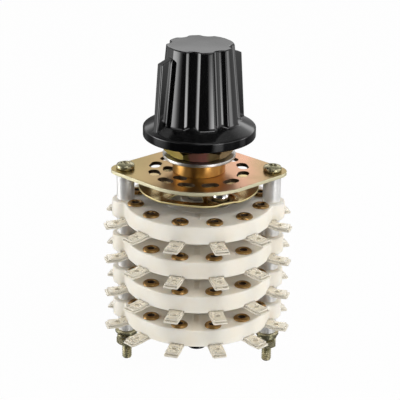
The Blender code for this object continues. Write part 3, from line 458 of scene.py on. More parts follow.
def remap(tree, value, low_in, high_in, low_out=0.0, high_out=1.0):
    """One clamped Map Range."""
    node = tree.nodes.new("ShaderNodeMapRange")
    node.interpolation_type = 'SMOOTHSTEP'
    tree.links.new(value, node.inputs["Value"])
    limits = {"From Min": low_in, "From Max": high_in, "To Min": low_out, "To Max": high_out}
    for label, number in limits.items():
        if isinstance(number, bpy.types.NodeSocket):
            tree.links.new(number, node.inputs[label])
        else:
            node.inputs[label].default_value = number
    return node.outputs["Result"]


def blend_colour(tree, factor, a, b):
    """One colour Mix; inputs may be sockets, numbers or colours."""
    node = tree.nodes.new("ShaderNodeMix")
    node.data_type = 'RGBA'
    for label, value in ((0, factor), (6, a), (7, b)):
        if isinstance(value, bpy.types.NodeSocket):
            tree.links.new(value, node.inputs[label])
        elif label == 0:
            node.inputs[0].default_value = value
        else:
            node.inputs[label].default_value = (*value, 1.0)
    return node.outputs[2]


def make_mottle():
    """Group: two colours mixed by cloudy noise, with finer specks, for plating, tarnish and glaze."""
    group, inlet, outlet = group_sockets("Mottle", [
        ("Main", "NodeSocketColor", (0.5, 0.5, 0.5, 1)), ("Bloom", "NodeSocketColor", (0.3, 0.3, 0.3, 1)),
        ("Cloud Scale", "NodeSocketFloat", 120.0), ("Amount", "NodeSocketFloat", 0.5),
        ("Speck", "NodeSocketColor", (0.1, 0.1, 0.1, 1)), ("Speck Amount", "NodeSocketFloat", 0.0)],
        [("Color", "NodeSocketColor"), ("Mask", "NodeSocketFloat")])
    place = own_place(group)
    cloud = noise(group, place, inlet.outputs["Cloud Scale"], 4.0)
    mask = remap(group, cloud, 0.38, 0.66)
    mask = maths(group, 'MULTIPLY', mask, inlet.outputs["Amount"], clamp=True)
    specks = remap(group, noise(group, place, 2300.0, 2.0), 0.66, 0.74)
    specks = maths(group, 'MULTIPLY', specks, inlet.outputs["Speck Amount"], clamp=True)
    mixed = blend_colour(group, mask, inlet.outputs["Main"], inlet.outputs["Bloom"])
    mixed = blend_colour(group, specks, mixed, inlet.outputs["Speck"])
    group.links.new(mixed, outlet.inputs["Color"])
    group.links.new(mask, outlet.inputs["Mask"])
    return group


def make_tool_lines():
    """Group: fine lines left by a tool, rings about an axis or lines along Z, as a height from 0 to 1."""
    group, inlet, outlet = group_sockets("ToolLines", [
        ("Scale", "NodeSocketFloat", 2500.0), ("Stretch", "NodeSocketVector", (1.0, 1.0, 0.03)),
        ("Centre", "NodeSocketVector", (0.0, 0.0, 0.0)), ("Rings", "NodeSocketFloat", 0.0)],
        [("Height", "NodeSocketFloat")])
    place = own_place(group)
    off = group.nodes.new("ShaderNodeVectorMath")
    off.operation = 'SUBTRACT'
    group.links.new(place, off.inputs[0])
    group.links.new(inlet.outputs["Centre"], off.inputs[1])
    stretch = group.nodes.new("ShaderNodeVectorMath")
    stretch.operation = 'MULTIPLY'
    group.links.new(off.outputs[0], stretch.inputs[0])
    group.links.new(inlet.outputs["Stretch"], stretch.inputs[1])
    lines = noise(group, stretch.outputs[0], inlet.outputs["Scale"], 2.0)
    x, y, z = parts_of(group, off.outputs[0])
    square = maths(group, 'ADD', maths(group, 'POWER', x, 2.0), maths(group, 'POWER', y, 2.0))
    radius = maths(group, 'SQRT', square)
    join = group.nodes.new("ShaderNodeCombineXYZ")
    group.links.new(radius, join.inputs[0])
    group.links.new(z, join.inputs[2])
    rings = noise(group, join.outputs[0], inlet.outputs["Scale"], 2.0)
    mixed = group.nodes.new("ShaderNodeMix")
    group.links.new(inlet.outputs["Rings"], mixed.inputs[0])
    group.links.new(lines, mixed.inputs[2])
    group.links.new(rings, mixed.inputs[3])
    group.links.new(mixed.outputs[0], outlet.inputs["Height"])
    return group


def make_edge_rub_and_hollow_shade():
    """Group: a mask of sharp edges for rubbed wear, or of hollows for painted shade where End is below Start,
    broken up by noise.
    """
    group, inlet, outlet = group_sockets("EdgeRubAndHollowShade", [
        ("Start", "NodeSocketFloat", 0.52), ("End", "NodeSocketFloat", 0.62),
        ("Amount", "NodeSocketFloat", 1.0)], [("Mask", "NodeSocketFloat")])
    place = own_place(group)
    pointed = group.nodes.new("ShaderNodeNewGeometry").outputs["Pointiness"]
    edge = remap(group, pointed, inlet.outputs["Start"], inlet.outputs["End"])
    broken = remap(group, noise(group, place, 900.0, 3.0), 0.3, 0.6, 0.35, 1.0)
    mask = maths(group, 'MULTIPLY', edge, broken)
    mask = maths(group, 'MULTIPLY', mask, inlet.outputs["Amount"], clamp=True)
    group.links.new(mask, outlet.inputs["Mask"])
    return group


def make_sheet_edge():
    """Group: a mask of the faces that stand upright, such as a sheet's sheared edge."""
    group, inlet, outlet = group_sockets("SheetEdge", [("Sharpness", "NodeSocketFloat", 0.25)],
                                         [("Mask", "NodeSocketFloat")])
    normal = parts_of(group, group.nodes.new("ShaderNodeNewGeometry").outputs["Normal"])
    upright = maths(group, 'SUBTRACT', 1.0, maths(group, 'ABSOLUTE', normal[2]))
    mask = remap(group, upright, 0.06, inlet.outputs["Sharpness"])
    group.links.new(mask, outlet.inputs["Mask"])
    return group


def make_dust():
    """Group: a mask of settled dust, more on faces that look up, in small specks and a thin film."""
    group, inlet, outlet = group_sockets("Dust", [("Amount", "NodeSocketFloat", 0.1)],
                                         [("Mask", "NodeSocketFloat")])
    place = own_place(group)
    normal = parts_of(group, group.nodes.new("ShaderNodeNewGeometry").outputs["Normal"])
    up = remap(group, normal[2], -0.2, 0.9, 0.15, 1.0)
    film = remap(group, noise(group, place, 260.0, 5.0, 0.65), 0.4, 0.75, 0.2, 0.7)
    specks = remap(group, noise(group, place, 3200.0, 1.0), 0.70, 0.76)
    mask = maths(group, 'MULTIPLY', maths(group, 'ADD', film, specks), up)
    mask = maths(group, 'MULTIPLY', mask, inlet.outputs["Amount"], clamp=True)
    group.links.new(mask, outlet.inputs["Mask"])
    return group


GROUP_MAKERS = {"Mottle": make_mottle, "ToolLines": make_tool_lines, "EdgeRubAndHollowShade": make_edge_rub_and_hollow_shade,
                "SheetEdge": make_sheet_edge, "Dust": make_dust}
GROUPS = {}


def effect(tree, label, **values):
    """Places one of the shared groups in a material with its own values."""
    if label not in GROUPS:
        GROUPS[label] = GROUP_MAKERS[label]()
    node = tree.nodes.new("ShaderNodeGroup")
    node.node_tree = GROUPS[label]
    for key, value in values.items():
        socket = node.inputs[key.replace("_", " ")]
        socket.default_value = (*value, 1.0) if socket.type == 'RGBA' else value
    return node


def bare_material(name, roughness, metallic, **sockets):
    """A Principled material with plain values on its own sockets."""
    material = bpy.data.materials.new(name)
    material.use_nodes = True
    shader = material.node_tree.nodes["Principled BSDF"]
    shader.inputs["Roughness"].default_value = roughness
    shader.inputs["Metallic"].default_value = metallic
    for key, value in sockets.items():
        shader.inputs[key.replace("_", " ")].default_value = value
    return material, material.node_tree, shader


def add_bump(tree, shader, height, strength, distance):
    """Feeds a height to the shader's normal."""
    bump = tree.nodes.new("ShaderNodeBump")
    bump.inputs["Strength"].default_value = strength
    bump.inputs["Distance"].default_value = distance
    tree.links.new(height, bump.inputs["Height"])
    tree.links.new(bump.outputs[0], shader.inputs["Normal"])


def along_x(tree, stops):
    """Colours along X, waved a little by noise; each stop is a place in millimetres and a colour."""
    place = own_place(tree)
    middle = maths(tree, 'SUBTRACT', parts_of(tree, place)[0], 0.002)
    wave = maths(tree, 'MULTIPLY_ADD', noise(tree, place, 160.0, 2.0), 0.004, middle)
    ramp = tree.nodes.new("ShaderNodeValToRGB")
    first, last = stops[0][0], stops[-1][0]
    tree.links.new(remap(tree, wave, first / 1000.0, last / 1000.0), ramp.inputs[0])
    while len(ramp.color_ramp.elements) < len(stops):
        ramp.color_ramp.elements.new(0.5)
    for element, (x, tone) in zip(ramp.color_ramp.elements, stops):
        element.position = (x - first) / (last - first)
        element.color = (*tone, 1.0)
    return ramp.outputs[0]


RINGS = {"Scale": 3500.0, "Rings": 1.0}
DRAWN = {"Scale": 2600.0, "Stretch": (1.0, 1.0, 0.03)}
ROLLED = {"Scale": 900.0, "Stretch": (1.0, 1.0, 1.0)}
TINNED = {"Scale": 1100.0, "Stretch": (1.0, 1.0, 1.0)}


def plated(name, main, bloom, roughness, cloud, amount, lines=None, rub=None, rub_colour=(0.8, 0.76, 0.62),
           specks=0.0, dust=0.04, bump=0.12, spread=0.12, metallic=1.0, tint=(1.0, 1.0, 1.0), drift=None,
           hollow_shade=None, sheared=None, openings=0.0, dark=None):
    """Metal finish: mottled plating, tool lines in the roughness and bump, rubbed edges and a trace of dust.

    The values of rub are two of Pointiness, from flat to sharp, and an amount. Those of drift are places
    along X, each with a colour, mixed into the tone. Those of hollow_shade are two of Pointiness, from flat
    to hollow, and the colour of the painted shade that hollows take on. A sheared colour covers upright
    faces, and a painted shade, 0.15 of the main colour, those of openings nearer to the object's middle than
    the radius given. The values of dark are two heights in metres and the colour of a painted shade that the
    tone takes on between them, in the bottom of a deep dish.
    """
    material, tree, shader = bare_material(name, roughness, metallic, Specular_Tint=(*tint, 1.0))
    mottle = effect(tree, "Mottle", Main=main, Bloom=bloom, Cloud_Scale=cloud, Amount=amount,
                    Speck=tuple(0.35 * v for v in main), Speck_Amount=specks)
    tone = mottle.outputs["Color"]
    rough = maths(tree, 'MULTIPLY_ADD', mottle.outputs["Mask"], spread, roughness)
    if lines:
        tool = effect(tree, "ToolLines", **lines)
        rough = maths(tree, 'SUBTRACT', rough, spread * 0.5)
        rough = maths(tree, 'MULTIPLY_ADD', tool.outputs["Height"], spread, rough)
        add_bump(tree, shader, tool.outputs["Height"], bump, 0.00003)
    if drift:
        tone = blend_colour(tree, 0.8, tone, along_x(tree, drift))
    if rub:
        worn = effect(tree, "EdgeRubAndHollowShade", Start=rub[0], End=rub[1], Amount=rub[2])
        tone = blend_colour(tree, worn.outputs["Mask"], tone, rub_colour)
    # Painted shade: hollows found by Pointiness take on a dark colour.
    if hollow_shade:
        hollow = effect(tree, "EdgeRubAndHollowShade", Start=hollow_shade[0], End=hollow_shade[1], Amount=1.0)
        tone = blend_colour(tree, hollow.outputs["Mask"], tone, hollow_shade[2])
    if sheared:
        upright = effect(tree, "SheetEdge", Sharpness=0.35).outputs["Mask"]
        from_middle = tree.nodes.new("ShaderNodeVectorMath")
        from_middle.operation = 'LENGTH'
        tree.links.new(own_place(tree), from_middle.inputs[0])
        # Painted shade: upright faces of openings nearer the middle than the given radius take 0.15 of the
        # main colour; other upright faces take the sheared colour.
        outside = remap(tree, from_middle.outputs["Value"], openings, openings + 0.001)
        cut = blend_colour(tree, outside, tuple(0.15 * v for v in main), sheared)
        tone = blend_colour(tree, upright, tone, cut)
        rough = maths(tree, 'MULTIPLY_ADD', upright, 0.22, rough, clamp=True)
        tree.links.new(maths(tree, 'MULTIPLY_ADD', upright, -0.45, metallic), shader.inputs["Metallic"])
    # Painted shade: below the first of the two heights the tone goes over to the dark colour, in the bottoms
    # of deep pockets.
    if dark:
        depth = remap(tree, parts_of(tree, own_place(tree))[2], dark[1], dark[0], 1.0, 0.0)
        tone = blend_colour(tree, depth, tone, dark[2])
    film = effect(tree, "Dust", Amount=dust)
    tone = blend_colour(tree, film.outputs["Mask"], tone, (0.62, 0.60, 0.56))
    rough = maths(tree, 'MULTIPLY_ADD', film.outputs["Mask"], 0.6, rough, clamp=True)
    tree.links.new(tone, shader.inputs["Base Color"])
    tree.links.new(rough, shader.inputs["Roughness"])
    return material


def resin_finish(colours):
    """Glossy black moulded resin: faint haze and waviness, dust on what looks up, rubbed arrises."""
    material, tree, shader = bare_material("knob_black_resin", 0.07, 0.0, IOR=1.58)
    film = effect(tree, "Dust", Amount=0.035)
    worn = effect(tree, "EdgeRubAndHollowShade", Start=0.53, End=0.66, Amount=0.12)
    tone = blend_colour(tree, film.outputs["Mask"], tuple(colours.resin), (0.30, 0.30, 0.29))
    tone = blend_colour(tree, worn.outputs["Mask"], tone, (0.05, 0.05, 0.05))
    place = own_place(tree)
    haze = remap(tree, noise(tree, place, 180.0, 4.0), 0.3, 0.7, 0.05, 0.085)
    rough = maths(tree, 'MULTIPLY_ADD', film.outputs["Mask"], 0.8, haze, clamp=True)
    tree.links.new(tone, shader.inputs["Base Color"])
    tree.links.new(rough, shader.inputs["Roughness"])
    add_bump(tree, shader, noise(tree, place, 90.0, 1.0), 0.05, 0.0004)
    return material


def ceramic_finish(colours):
    """Satin steatite: warm white, slightly cloudy, with fine pits and a few grey specks."""
    material, tree, shader = bare_material("ceramic_body", 0.38, 0.0, IOR=1.55, Subsurface_Weight=0.35,
                                           Subsurface_Radius=(1.0, 0.85, 0.65), Subsurface_Scale=0.0035)
    base = tuple(colours.ceramic)
    warm = (base[0] * 0.97, base[1] * 0.94, base[2] * 0.90)
    mottle = effect(tree, "Mottle", Main=base, Bloom=warm, Cloud_Scale=130.0, Amount=0.7,
                    Speck=(0.42, 0.38, 0.33), Speck_Amount=0.10)
    film = effect(tree, "Dust", Amount=0.05)
    tone = blend_colour(tree, film.outputs["Mask"], mottle.outputs["Color"], (0.55, 0.50, 0.44))
    place = own_place(tree)
    rough = remap(tree, noise(tree, place, 700.0, 3.0), 0.3, 0.7, 0.33, 0.46)
    tree.links.new(tone, shader.inputs["Base Color"])
    tree.links.new(rough, shader.inputs["Roughness"])
    add_bump(tree, shader, noise(tree, place, 1500.0, 3.0), 0.10, 0.00008)
    return material


def brass_finish(colours):
    """Turned brass, whose rings draw its reflections out."""
    brass = plated("brass_turned", tuple(colours.brass), (0.68, 0.38, 0.12), 0.34, 90.0, 0.25, RINGS,
                   (0.52, 0.60, 0.5), (0.95, 0.70, 0.34), bump=0.05, spread=0.06)
    shader = brass.node_tree.nodes["Principled BSDF"]
    shader.inputs["Anisotropic"].default_value = 0.85
    shader.inputs["Anisotropic Rotation"].default_value = 0.25
    return brass


def plate_finish(colours):
    """Tan passivated zinc, olive to pink along X as partly painted light; pale sheared edges; painted shade
    in slots.
    """
    # Partly the chromate's own tint and partly painted light: the tone runs brightest and pinkest right of
    # the bushing.
    drift = ((-24, (0.42, 0.34, 0.15)), (-12, (0.56, 0.36, 0.19)), (0, (0.44, 0.34, 0.16)),
             (8, (0.64, 0.38, 0.24)), (18, (0.88, 0.48, 0.35)), (24, (0.44, 0.35, 0.17)))
    return plated("plate_tan_zinc", tuple(colours.plate), (0.38, 0.31, 0.14), 0.27, 42.0, 0.6, ROLLED,
                  specks=0.12, bump=0.04, spread=0.08, tint=(0.9, 0.85, 0.75), drift=drift,
                  sheared=tuple(colours.plate_edge), openings=0.0162)


def nut_finish(colours):
    """Olive plating with a reddish bloom across the middle of the panel nut, its face tones partly painted
    light.
    """
    olive, dull, red = tuple(colours.nut), (0.27, 0.21, 0.035), tuple(colours.nut_bloom_and_light)
    # Partly painted light: one tone for each face along X, the bloom's red on the front face made light
    # enough to stand in for light that face does not get.
    drift = ((-9, dull), (-5.2, (0.25, 0.19, 0.035)), (-4.2, red), (3.6, red), (5.0, olive), (10, olive))
    return plated("panel_nut_plating", olive, red, 0.34, 170.0, 0.8, RINGS, (0.53, 0.60, 0.9),
                  (0.85, 0.78, 0.42), 0.1, drift=drift)


def nickel_finish(colours):
    """Bright nickel of the panel washer."""
    return plated("nickel_washer", tuple(colours.nickel), (0.62, 0.60, 0.55), 0.34, 200.0, 0.4, RINGS)


def gold_finish(colours):
    """Gold passivated detent disc with painted shade in the bottoms of its pockets, pale on its sheared
    edges.
    """
    return plated("detent_gold_plate", tuple(colours.gold), (0.40, 0.28, 0.12), 0.22, 60.0, 0.6, ROLLED,
                  (0.53, 0.60, 0.8), (0.90, 0.80, 0.42), 0.05, bump=0.05, spread=0.06,
                  sheared=(0.80, 0.68, 0.34), dark=(-0.0090, -0.0097, (0.07, 0.05, 0.02)))


def eyelet_finish(colours):
    """Aged brass of the eyelets, rubbed on their crowns."""
    return plated("eyelet_brass", tuple(colours.eyelet), (0.24, 0.14, 0.045), 0.25, 300.0, 0.6, None,
                  (0.53, 0.62, 0.5), (0.72, 0.50, 0.22), 0.1, metallic=0.95)


def eyelet_bore_finish(colours):
    """Painted shade inside the eyelets: the same brass made nearly black."""
    black, blacker = (0.050, 0.028, 0.012), (0.02, 0.012, 0.006)
    return plated("eyelet_bore_painted_shade", black, blacker, 0.5, 300.0, 0.6, None, metallic=0.5)


def silver_finish(colours):
    """Tinned contacts: a soft shine with brighter rubbed edges and duller sheared ones."""
    return plated("contact_tinned", tuple(colours.silver), (0.76, 0.70, 0.58), 0.26, 480.0, 0.5, TINNED,
                  (0.53, 0.62, 0.6), (0.96, 0.94, 0.88), bump=0.06, spread=0.10, metallic=0.62,
                  sheared=(0.80, 0.75, 0.64))


def aluminium_finish(colours):
    """Drawn aluminium tube, with lines along its length."""
    return plated("spacer_aluminium", tuple(colours.aluminium), (0.72, 0.71, 0.70), 0.42, 240.0, 0.4, DRAWN,
                  bump=0.06, metallic=0.6)


def zinc_finish(colours):
    """Greenish yellow zinc, bright on rubbed edges, with painted shade in the roots of threads."""
    return plated("bolt_yellow_zinc", tuple(colours.zinc), (0.46, 0.46, 0.28), 0.25, 420.0, 0.7, RINGS,
                  (0.53, 0.62, 0.5), (0.86, 0.84, 0.70), 0.15, metallic=0.9,
                  hollow_shade=(0.48, 0.42, (0.09, 0.08, 0.04)))


def steel_finish(colours):
    """Bright turned steel."""
    return plated("shaft_steel", tuple(colours.steel), (0.46, 0.45, 0.43), 0.18, 160.0, 0.5, RINGS)


def ball_finish(colours):
    """Polished ball steel."""
    return plated("ball_steel", (0.72, 0.71, 0.70), (0.66, 0.65, 0.64), 0.06, 200.0, 0.3)


FINISH_MAKERS = {
    "resin": resin_finish, "ceramic": ceramic_finish, "brass": brass_finish, "plate": plate_finish,
    "nut": nut_finish, "nickel": nickel_finish, "gold": gold_finish, "eyelet": eyelet_finish,
    "eyelet_bore": eyelet_bore_finish, "silver": silver_finish, "aluminium": aluminium_finish,
    "zinc": zinc_finish, "steel": steel_finish, "ball": ball_finish,
}
FINISHES = {}


def finish(name):
    """A finish of this object by name, made when first asked for."""
    if name not in FINISHES:
        FINISHES[name] = FINISH_MAKERS[name](bpy.context.scene.switch_colours)
    return FINISHES[name]


# Knob
def spread_out(count):
    """Shares from 0 to 1 that lie a little closer together at both ends: s = u - 0.03 sin(2 pi u)."""
    u = np.linspace(0.0, 1.0, count, endpoint=False)
    return u - 0.03 * np.sin(TAU * u)


def knob_outline(z, size, first):
    """The knob body's outline at heights z above its bottom, as x and y arrays of one row for each height.

    A lobe is an arc of the tapered body's circle. A flute is an arc of the
    leaning cutter's circle, R cos a = m - p cos b and R sin a = p sin b. Two
    opposite fins stand on the plain circle: straight sides at half their
    width and a face at their reach. The line is then averaged with its
    neighbours, which rounds every arris.
    """
    z = np.atleast_1d(z)[:, None]
    height = size["height"]
    body = size["foot"] + (size["top"] - size["foot"]) * (z - size["rim"]) / (height - size["rim"])
    rho = size["flute"]
    middle = body - size["flute_depth"] + rho
    alpha = np.arccos((body ** 2 + middle ** 2 - rho ** 2) / (2 * body * middle))
    beta = np.arcsin(body * np.sin(alpha) / rho)
    shoulder = height - size["fin_drop"]
    risen = (z - size["rim"]) / (shoulder - size["rim"])
    reach = size["fin_foot"] + (size["fin_top"] - size["fin_foot"]) * risen
    ramp = size["fin_top"] - (z - shoulder) / size["ramp_rise"] * size["ramp_run"]
    half = size["fin"] / 2
    root = np.sqrt(body ** 2 - half ** 2)
    reach = np.maximum(np.where(z > shoulder, ramp, reach), root)
    root_angle = np.arcsin(half / body)
    lines = []
    for k in range(FLUTINGS):
        if k % 4 == 0:
            out, across = spread_out(14), spread_out(16)
            u = [root + (reach - root) * out, reach + 0 * across, reach + (root - reach) * out]
            v = [0 * u[0] - half, 0 * u[1] - half + 2 * half * across, 0 * u[2] + half]
        else:
            b = beta * (2 * np.linspace(0.0, 1.0, 30, endpoint=False) - 1)
            u, v = [middle - rho * np.cos(b)], [rho * np.sin(b)]
        start = root_angle if k % 4 == 0 else alpha
        end = TAU / FLUTINGS - (root_angle if k % 4 == 3 else alpha)
        a = start + (end - start) * np.linspace(0.0, 1.0, 30, endpoint=False)
        u, v = np.hstack(u + [body * np.cos(a)]), np.hstack(v + [body * np.sin(a)])
        axis = first + k * TAU / FLUTINGS
        c, s = math.cos(axis), math.sin(axis)
        lines.append((c * u - s * v, s * u + c * v))
    x, y = (np.hstack(part) for part in zip(*lines))
    for _ in range(5):
        x = (np.roll(x, 1, 1) + 2 * x + np.roll(x, -1, 1)) / 4
        y = (np.roll(y, 1, 1) + 2 * y + np.roll(y, -1, 1)) / 4
    return x, y


def knob_surface(size, first, socket_radius, socket_depth):
    """The whole knob as one closed surface of rows from the top's middle to the socket's middle.

    Body rows follow knob_outline; the body meets the cone z = rim + (R - r) tan 24 in a fillet, the curve
    (1-t)^2 A + 2t(1-t) M + t^2 B about each meeting point M. Below the rim the rows follow a line of (r, z).
    """
    height, edge, rim, skirt = size["height"], size["edge"], size["rim"], size["skirt"]
    shoulder = height - size["fin_drop"]
    ramp_top = shoulder + size["ramp_rise"]
    junction = rim + 4.6
    levels = np.concatenate([np.linspace(height - edge, ramp_top + 0.1, 10),
                             np.linspace(ramp_top, shoulder, 9), np.linspace(shoulder - 0.1, junction, 30)])
    x, y = knob_outline(levels, size, first)
    body = np.stack([x, y, np.broadcast_to(levels[:, None], x.shape)], -1)
    bend = np.linspace(0.0, np.pi / 2, 6)[:-1]
    rim_line = body[0]
    radius = np.linalg.norm(rim_line[:, :2], axis=1, keepdims=True)
    unit = rim_line[:, :2] / radius

    def level(line, z):
        return np.column_stack([line, np.full(len(line), z)])

    crown = [level(unit * (radius - edge * (1 - math.sin(b))), height - edge * (1 - math.cos(b)))
             for b in bend]
    top = [level(unit * (radius - edge * 1.15) * share, height) for share in (0.0, 0.5, 0.9, 1.0)]
    x, y = knob_outline([rim, junction], size, first)
    foot, head = level(np.column_stack([x[0], y[0]]), rim), level(np.column_stack([x[1], y[1]]), junction)
    r0, r1 = np.linalg.norm(foot[:, :2], axis=1), np.linalg.norm(head[:, :2], axis=1)
    slope = math.tan(math.radians(24))
    rise = (skirt - r0) / ((r1 - r0) / (junction - rim) + 1 / slope)
    meet = foot + (head - foot) * (rise / (junction - rim))[:, None]
    meet_r = np.linalg.norm(meet[:, :2], axis=1)
    out = meet[:, :2] / meet_r[:, None]
    run = np.minimum(size["fillet"], 0.55 * (skirt - edge - meet_r))[:, None]
    start = meet + (head - meet) / np.linalg.norm(head - meet, axis=1, keepdims=True) * run
    end = np.column_stack([meet[:, :2] + out * run, meet[:, 2:] - run * slope])
    drop = [head + (start - head) * s for s in (0.35, 0.7, 0.95)]
    drop += [(1 - t) ** 2 * start + 2 * t * (1 - t) * meet + t ** 2 * end for t in np.linspace(0.0, 1.0, 9)]
    lip = level(out * (skirt - edge), rim + edge * slope)
    drop += [end + (lip - end) * s for s in (0.06, 0.3, 0.6, 0.92, 1.0)]
    hub = socket_radius + 1.6
    wall, recess = 1.6, 1.4
    lower = soften([(skirt - edge, rim + edge * slope), (skirt, rim - edge * 0.2), (skirt, 0.0),
                    (skirt - wall, 0.0), (skirt - wall, recess), (hub, recess), (hub, 0.0),
                    (socket_radius, 0.0), (socket_radius, socket_depth), (0.0, socket_depth)],
                   0.35, closed=False)[1:]
    under = [level(out * r, z) for r, z in lower]
    return grid(np.array(top + crown + list(body) + drop + under))


def bored(made, radius, start, end):
    """Bores a round hole into a piece from one point to another."""
    start, end = np.asarray(start, dtype=float), np.asarray(end, dtype=float)
    along = (end - start) / np.linalg.norm(end - start)
    side = np.cross(along, (0.0, 0.0, 1.0))
    side = side / np.linalg.norm(side) if np.linalg.norm(side) > 0.1 else np.array([1.0, 0.0, 0.0])
    a = around(40)
    section = radius * np.column_stack([np.cos(a), np.sin(a)])
    cut_away(made, [carry(start + (end - start) * np.linspace(0, 1, 3)[:, None], section, side)])


def cut_away(made, surfaces):
    """Takes closed surfaces away from a piece with an exact Boolean that is applied at once."""
    shape = bpy.data.meshes.new("cutter")
    fill_mesh(shape, surfaces)
    cutter = bpy.data.objects.new("cutter", shape)
    bpy.context.scene.collection.objects.link(cutter)
    change = made.modifiers.new("bore", 'BOOLEAN')
    change.operation = 'DIFFERENCE'
    change.solver = 'EXACT'
    change.object = cutter
    bpy.context.view_layer.update()
    seen = made.evaluated_get(bpy.context.evaluated_depsgraph_get())
    mesh = bpy.data.meshes.new_from_object(seen)
    made.modifiers.remove(change)
    bpy.data.objects.remove(cutter, do_unlink=True)
    made.data = mesh
    mesh.set_sharp_from_angle(angle=math.radians(34))


class SWITCH_OT_knob(bpy.types.Operator):
    """Makes the fluted knob with its two fins and skirt, and its brass insert"""
    bl_idname = "switch.knob"
    bl_label = "Knob"

    def execute(self, context):
        s = context.scene.switch_knob
        bottom, top = low("knob")[2], high("knob")[2]
        insert_top = high("knob_insert")[2]
        size = {"height": top - bottom, "rim": mm(s.rim_height), "top": mm(s.top_radius),
                "foot": mm(s.foot_radius), "flute": mm(s.flute_radius), "flute_depth": mm(s.flute_depth),
                "fillet": mm(s.fillet), "fin": mm(s.fin_width), "fin_top": mm(s.fin_top),
                "fin_foot": mm(s.fin_foot), "fin_drop": mm(s.fin_drop), "ramp_rise": mm(s.ramp_rise),
                "ramp_run": mm(s.ramp_run), "skirt": mm(s.skirt_radius), "edge": mm(s.edge)}
        first_fin = math.radians(-56 - 90)
        insert_radius = (high("knob_insert")[0] - low("knob_insert")[0]) / 2
        surface = knob_surface(size, first_fin, insert_radius + 0.05, insert_top + 0.25 - bottom)
        knob = piece("knob_moulding", [moved(surface, (0, 0, bottom))], finish("resin"), "rotor", ["knob"])
        grub = centre("knob_grub_screw")
        out = np.array([grub[0], grub[1], 0.0]) / np.hypot(grub[0], grub[1])
        level = np.array([0.0, 0.0, grub[2]])
        bored(knob, 1.7, level + out * (insert_radius + 0.4), level + out * 14.0)
        depth = low("knob_insert")[2]
        outer, inner = insert_radius, 3.1
        wall = soften([(outer, insert_top), (outer, depth), (inner, depth), (inner, insert_top)], 0.2)
        piece("knob_brass_insert", [turn(wall, 72, closed=True)], finish("brass"), "rotor", ["knob_insert"])
        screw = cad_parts["knob_grub_screw"]
        screw.data.materials.clear()
        screw.data.materials.append(finish("steel"))
        return {'FINISHED'}


# Shaft, snap ring and bushing
def shaft_surface():
    """The shaft: a turned bar whose flat is cut at a largest y where the knob and the rotors sit."""
    top, bottom = high("shaft")[2], low("shaft")[2]
    clip_top, clip_bottom = high("shaft_clip")[2] + 0.2, low("shaft_clip")[2] - 0.2
    knob_flat = low("knob_insert")[2]
    rotor_flat = low("bushing")[2] - 0.3
    r, groove, flat = 3.0, 2.5, 2.2
    rows = [(0, top, r), (2.2, top, r), (2.6, top, r), (r, top - 0.4, r), (r, knob_flat, flat),
            (r, knob_flat - 0.02, r), (r, rotor_flat, r), (r, rotor_flat - 0.02, flat), (r, clip_top, flat),
            (groove, clip_top - 0.01, flat), (groove, clip_bottom + 0.01, flat), (r, clip_bottom, flat),
            (r, clip_bottom - 0.2, flat), (r, bottom + 0.62, flat), (2.94, bottom + 0.36, flat),
            (2.72, bottom + 0.13, flat), (2.35, bottom + 0.02, flat), (2.0, bottom, flat), (0, bottom, r)]
    rows = np.array(rows, dtype=float)
    limit = np.where(rows[:, 0] < 0.01, 10.0, rows[:, 2])
    limit[:4] = flat
    return turn(rows[:, :2], 128, flat=limit)


class SWITCH_OT_shaft(bpy.types.Operator):
    """Makes the flatted shaft and its snap ring"""
    bl_idname = "switch.shaft"
    bl_label = "Shaft"

    def execute(self, context):
        piece("shaft_bar", [shaft_surface()], finish("steel"), "rotor", ["shaft"])
        top, bottom = high("shaft_clip")[2], low("shaft_clip")[2]
        mouth = math.radians(70)
        a = np.linspace(-np.pi / 2 + mouth / 2, 1.5 * np.pi - mouth / 2, 80)
        path = np.column_stack([3.75 * np.cos(a), 3.75 * np.sin(a), np.full_like(a, (top + bottom) / 2)])
        side = np.column_stack([np.cos(a), np.sin(a), np.zeros_like(a)])
        ring = carry(path, bar_section(1.95, top - bottom, 0.15), side)
        piece("snap_ring", [ring], finish("steel"), "rotor", ["shaft_clip"])
        return {'FINISHED'}


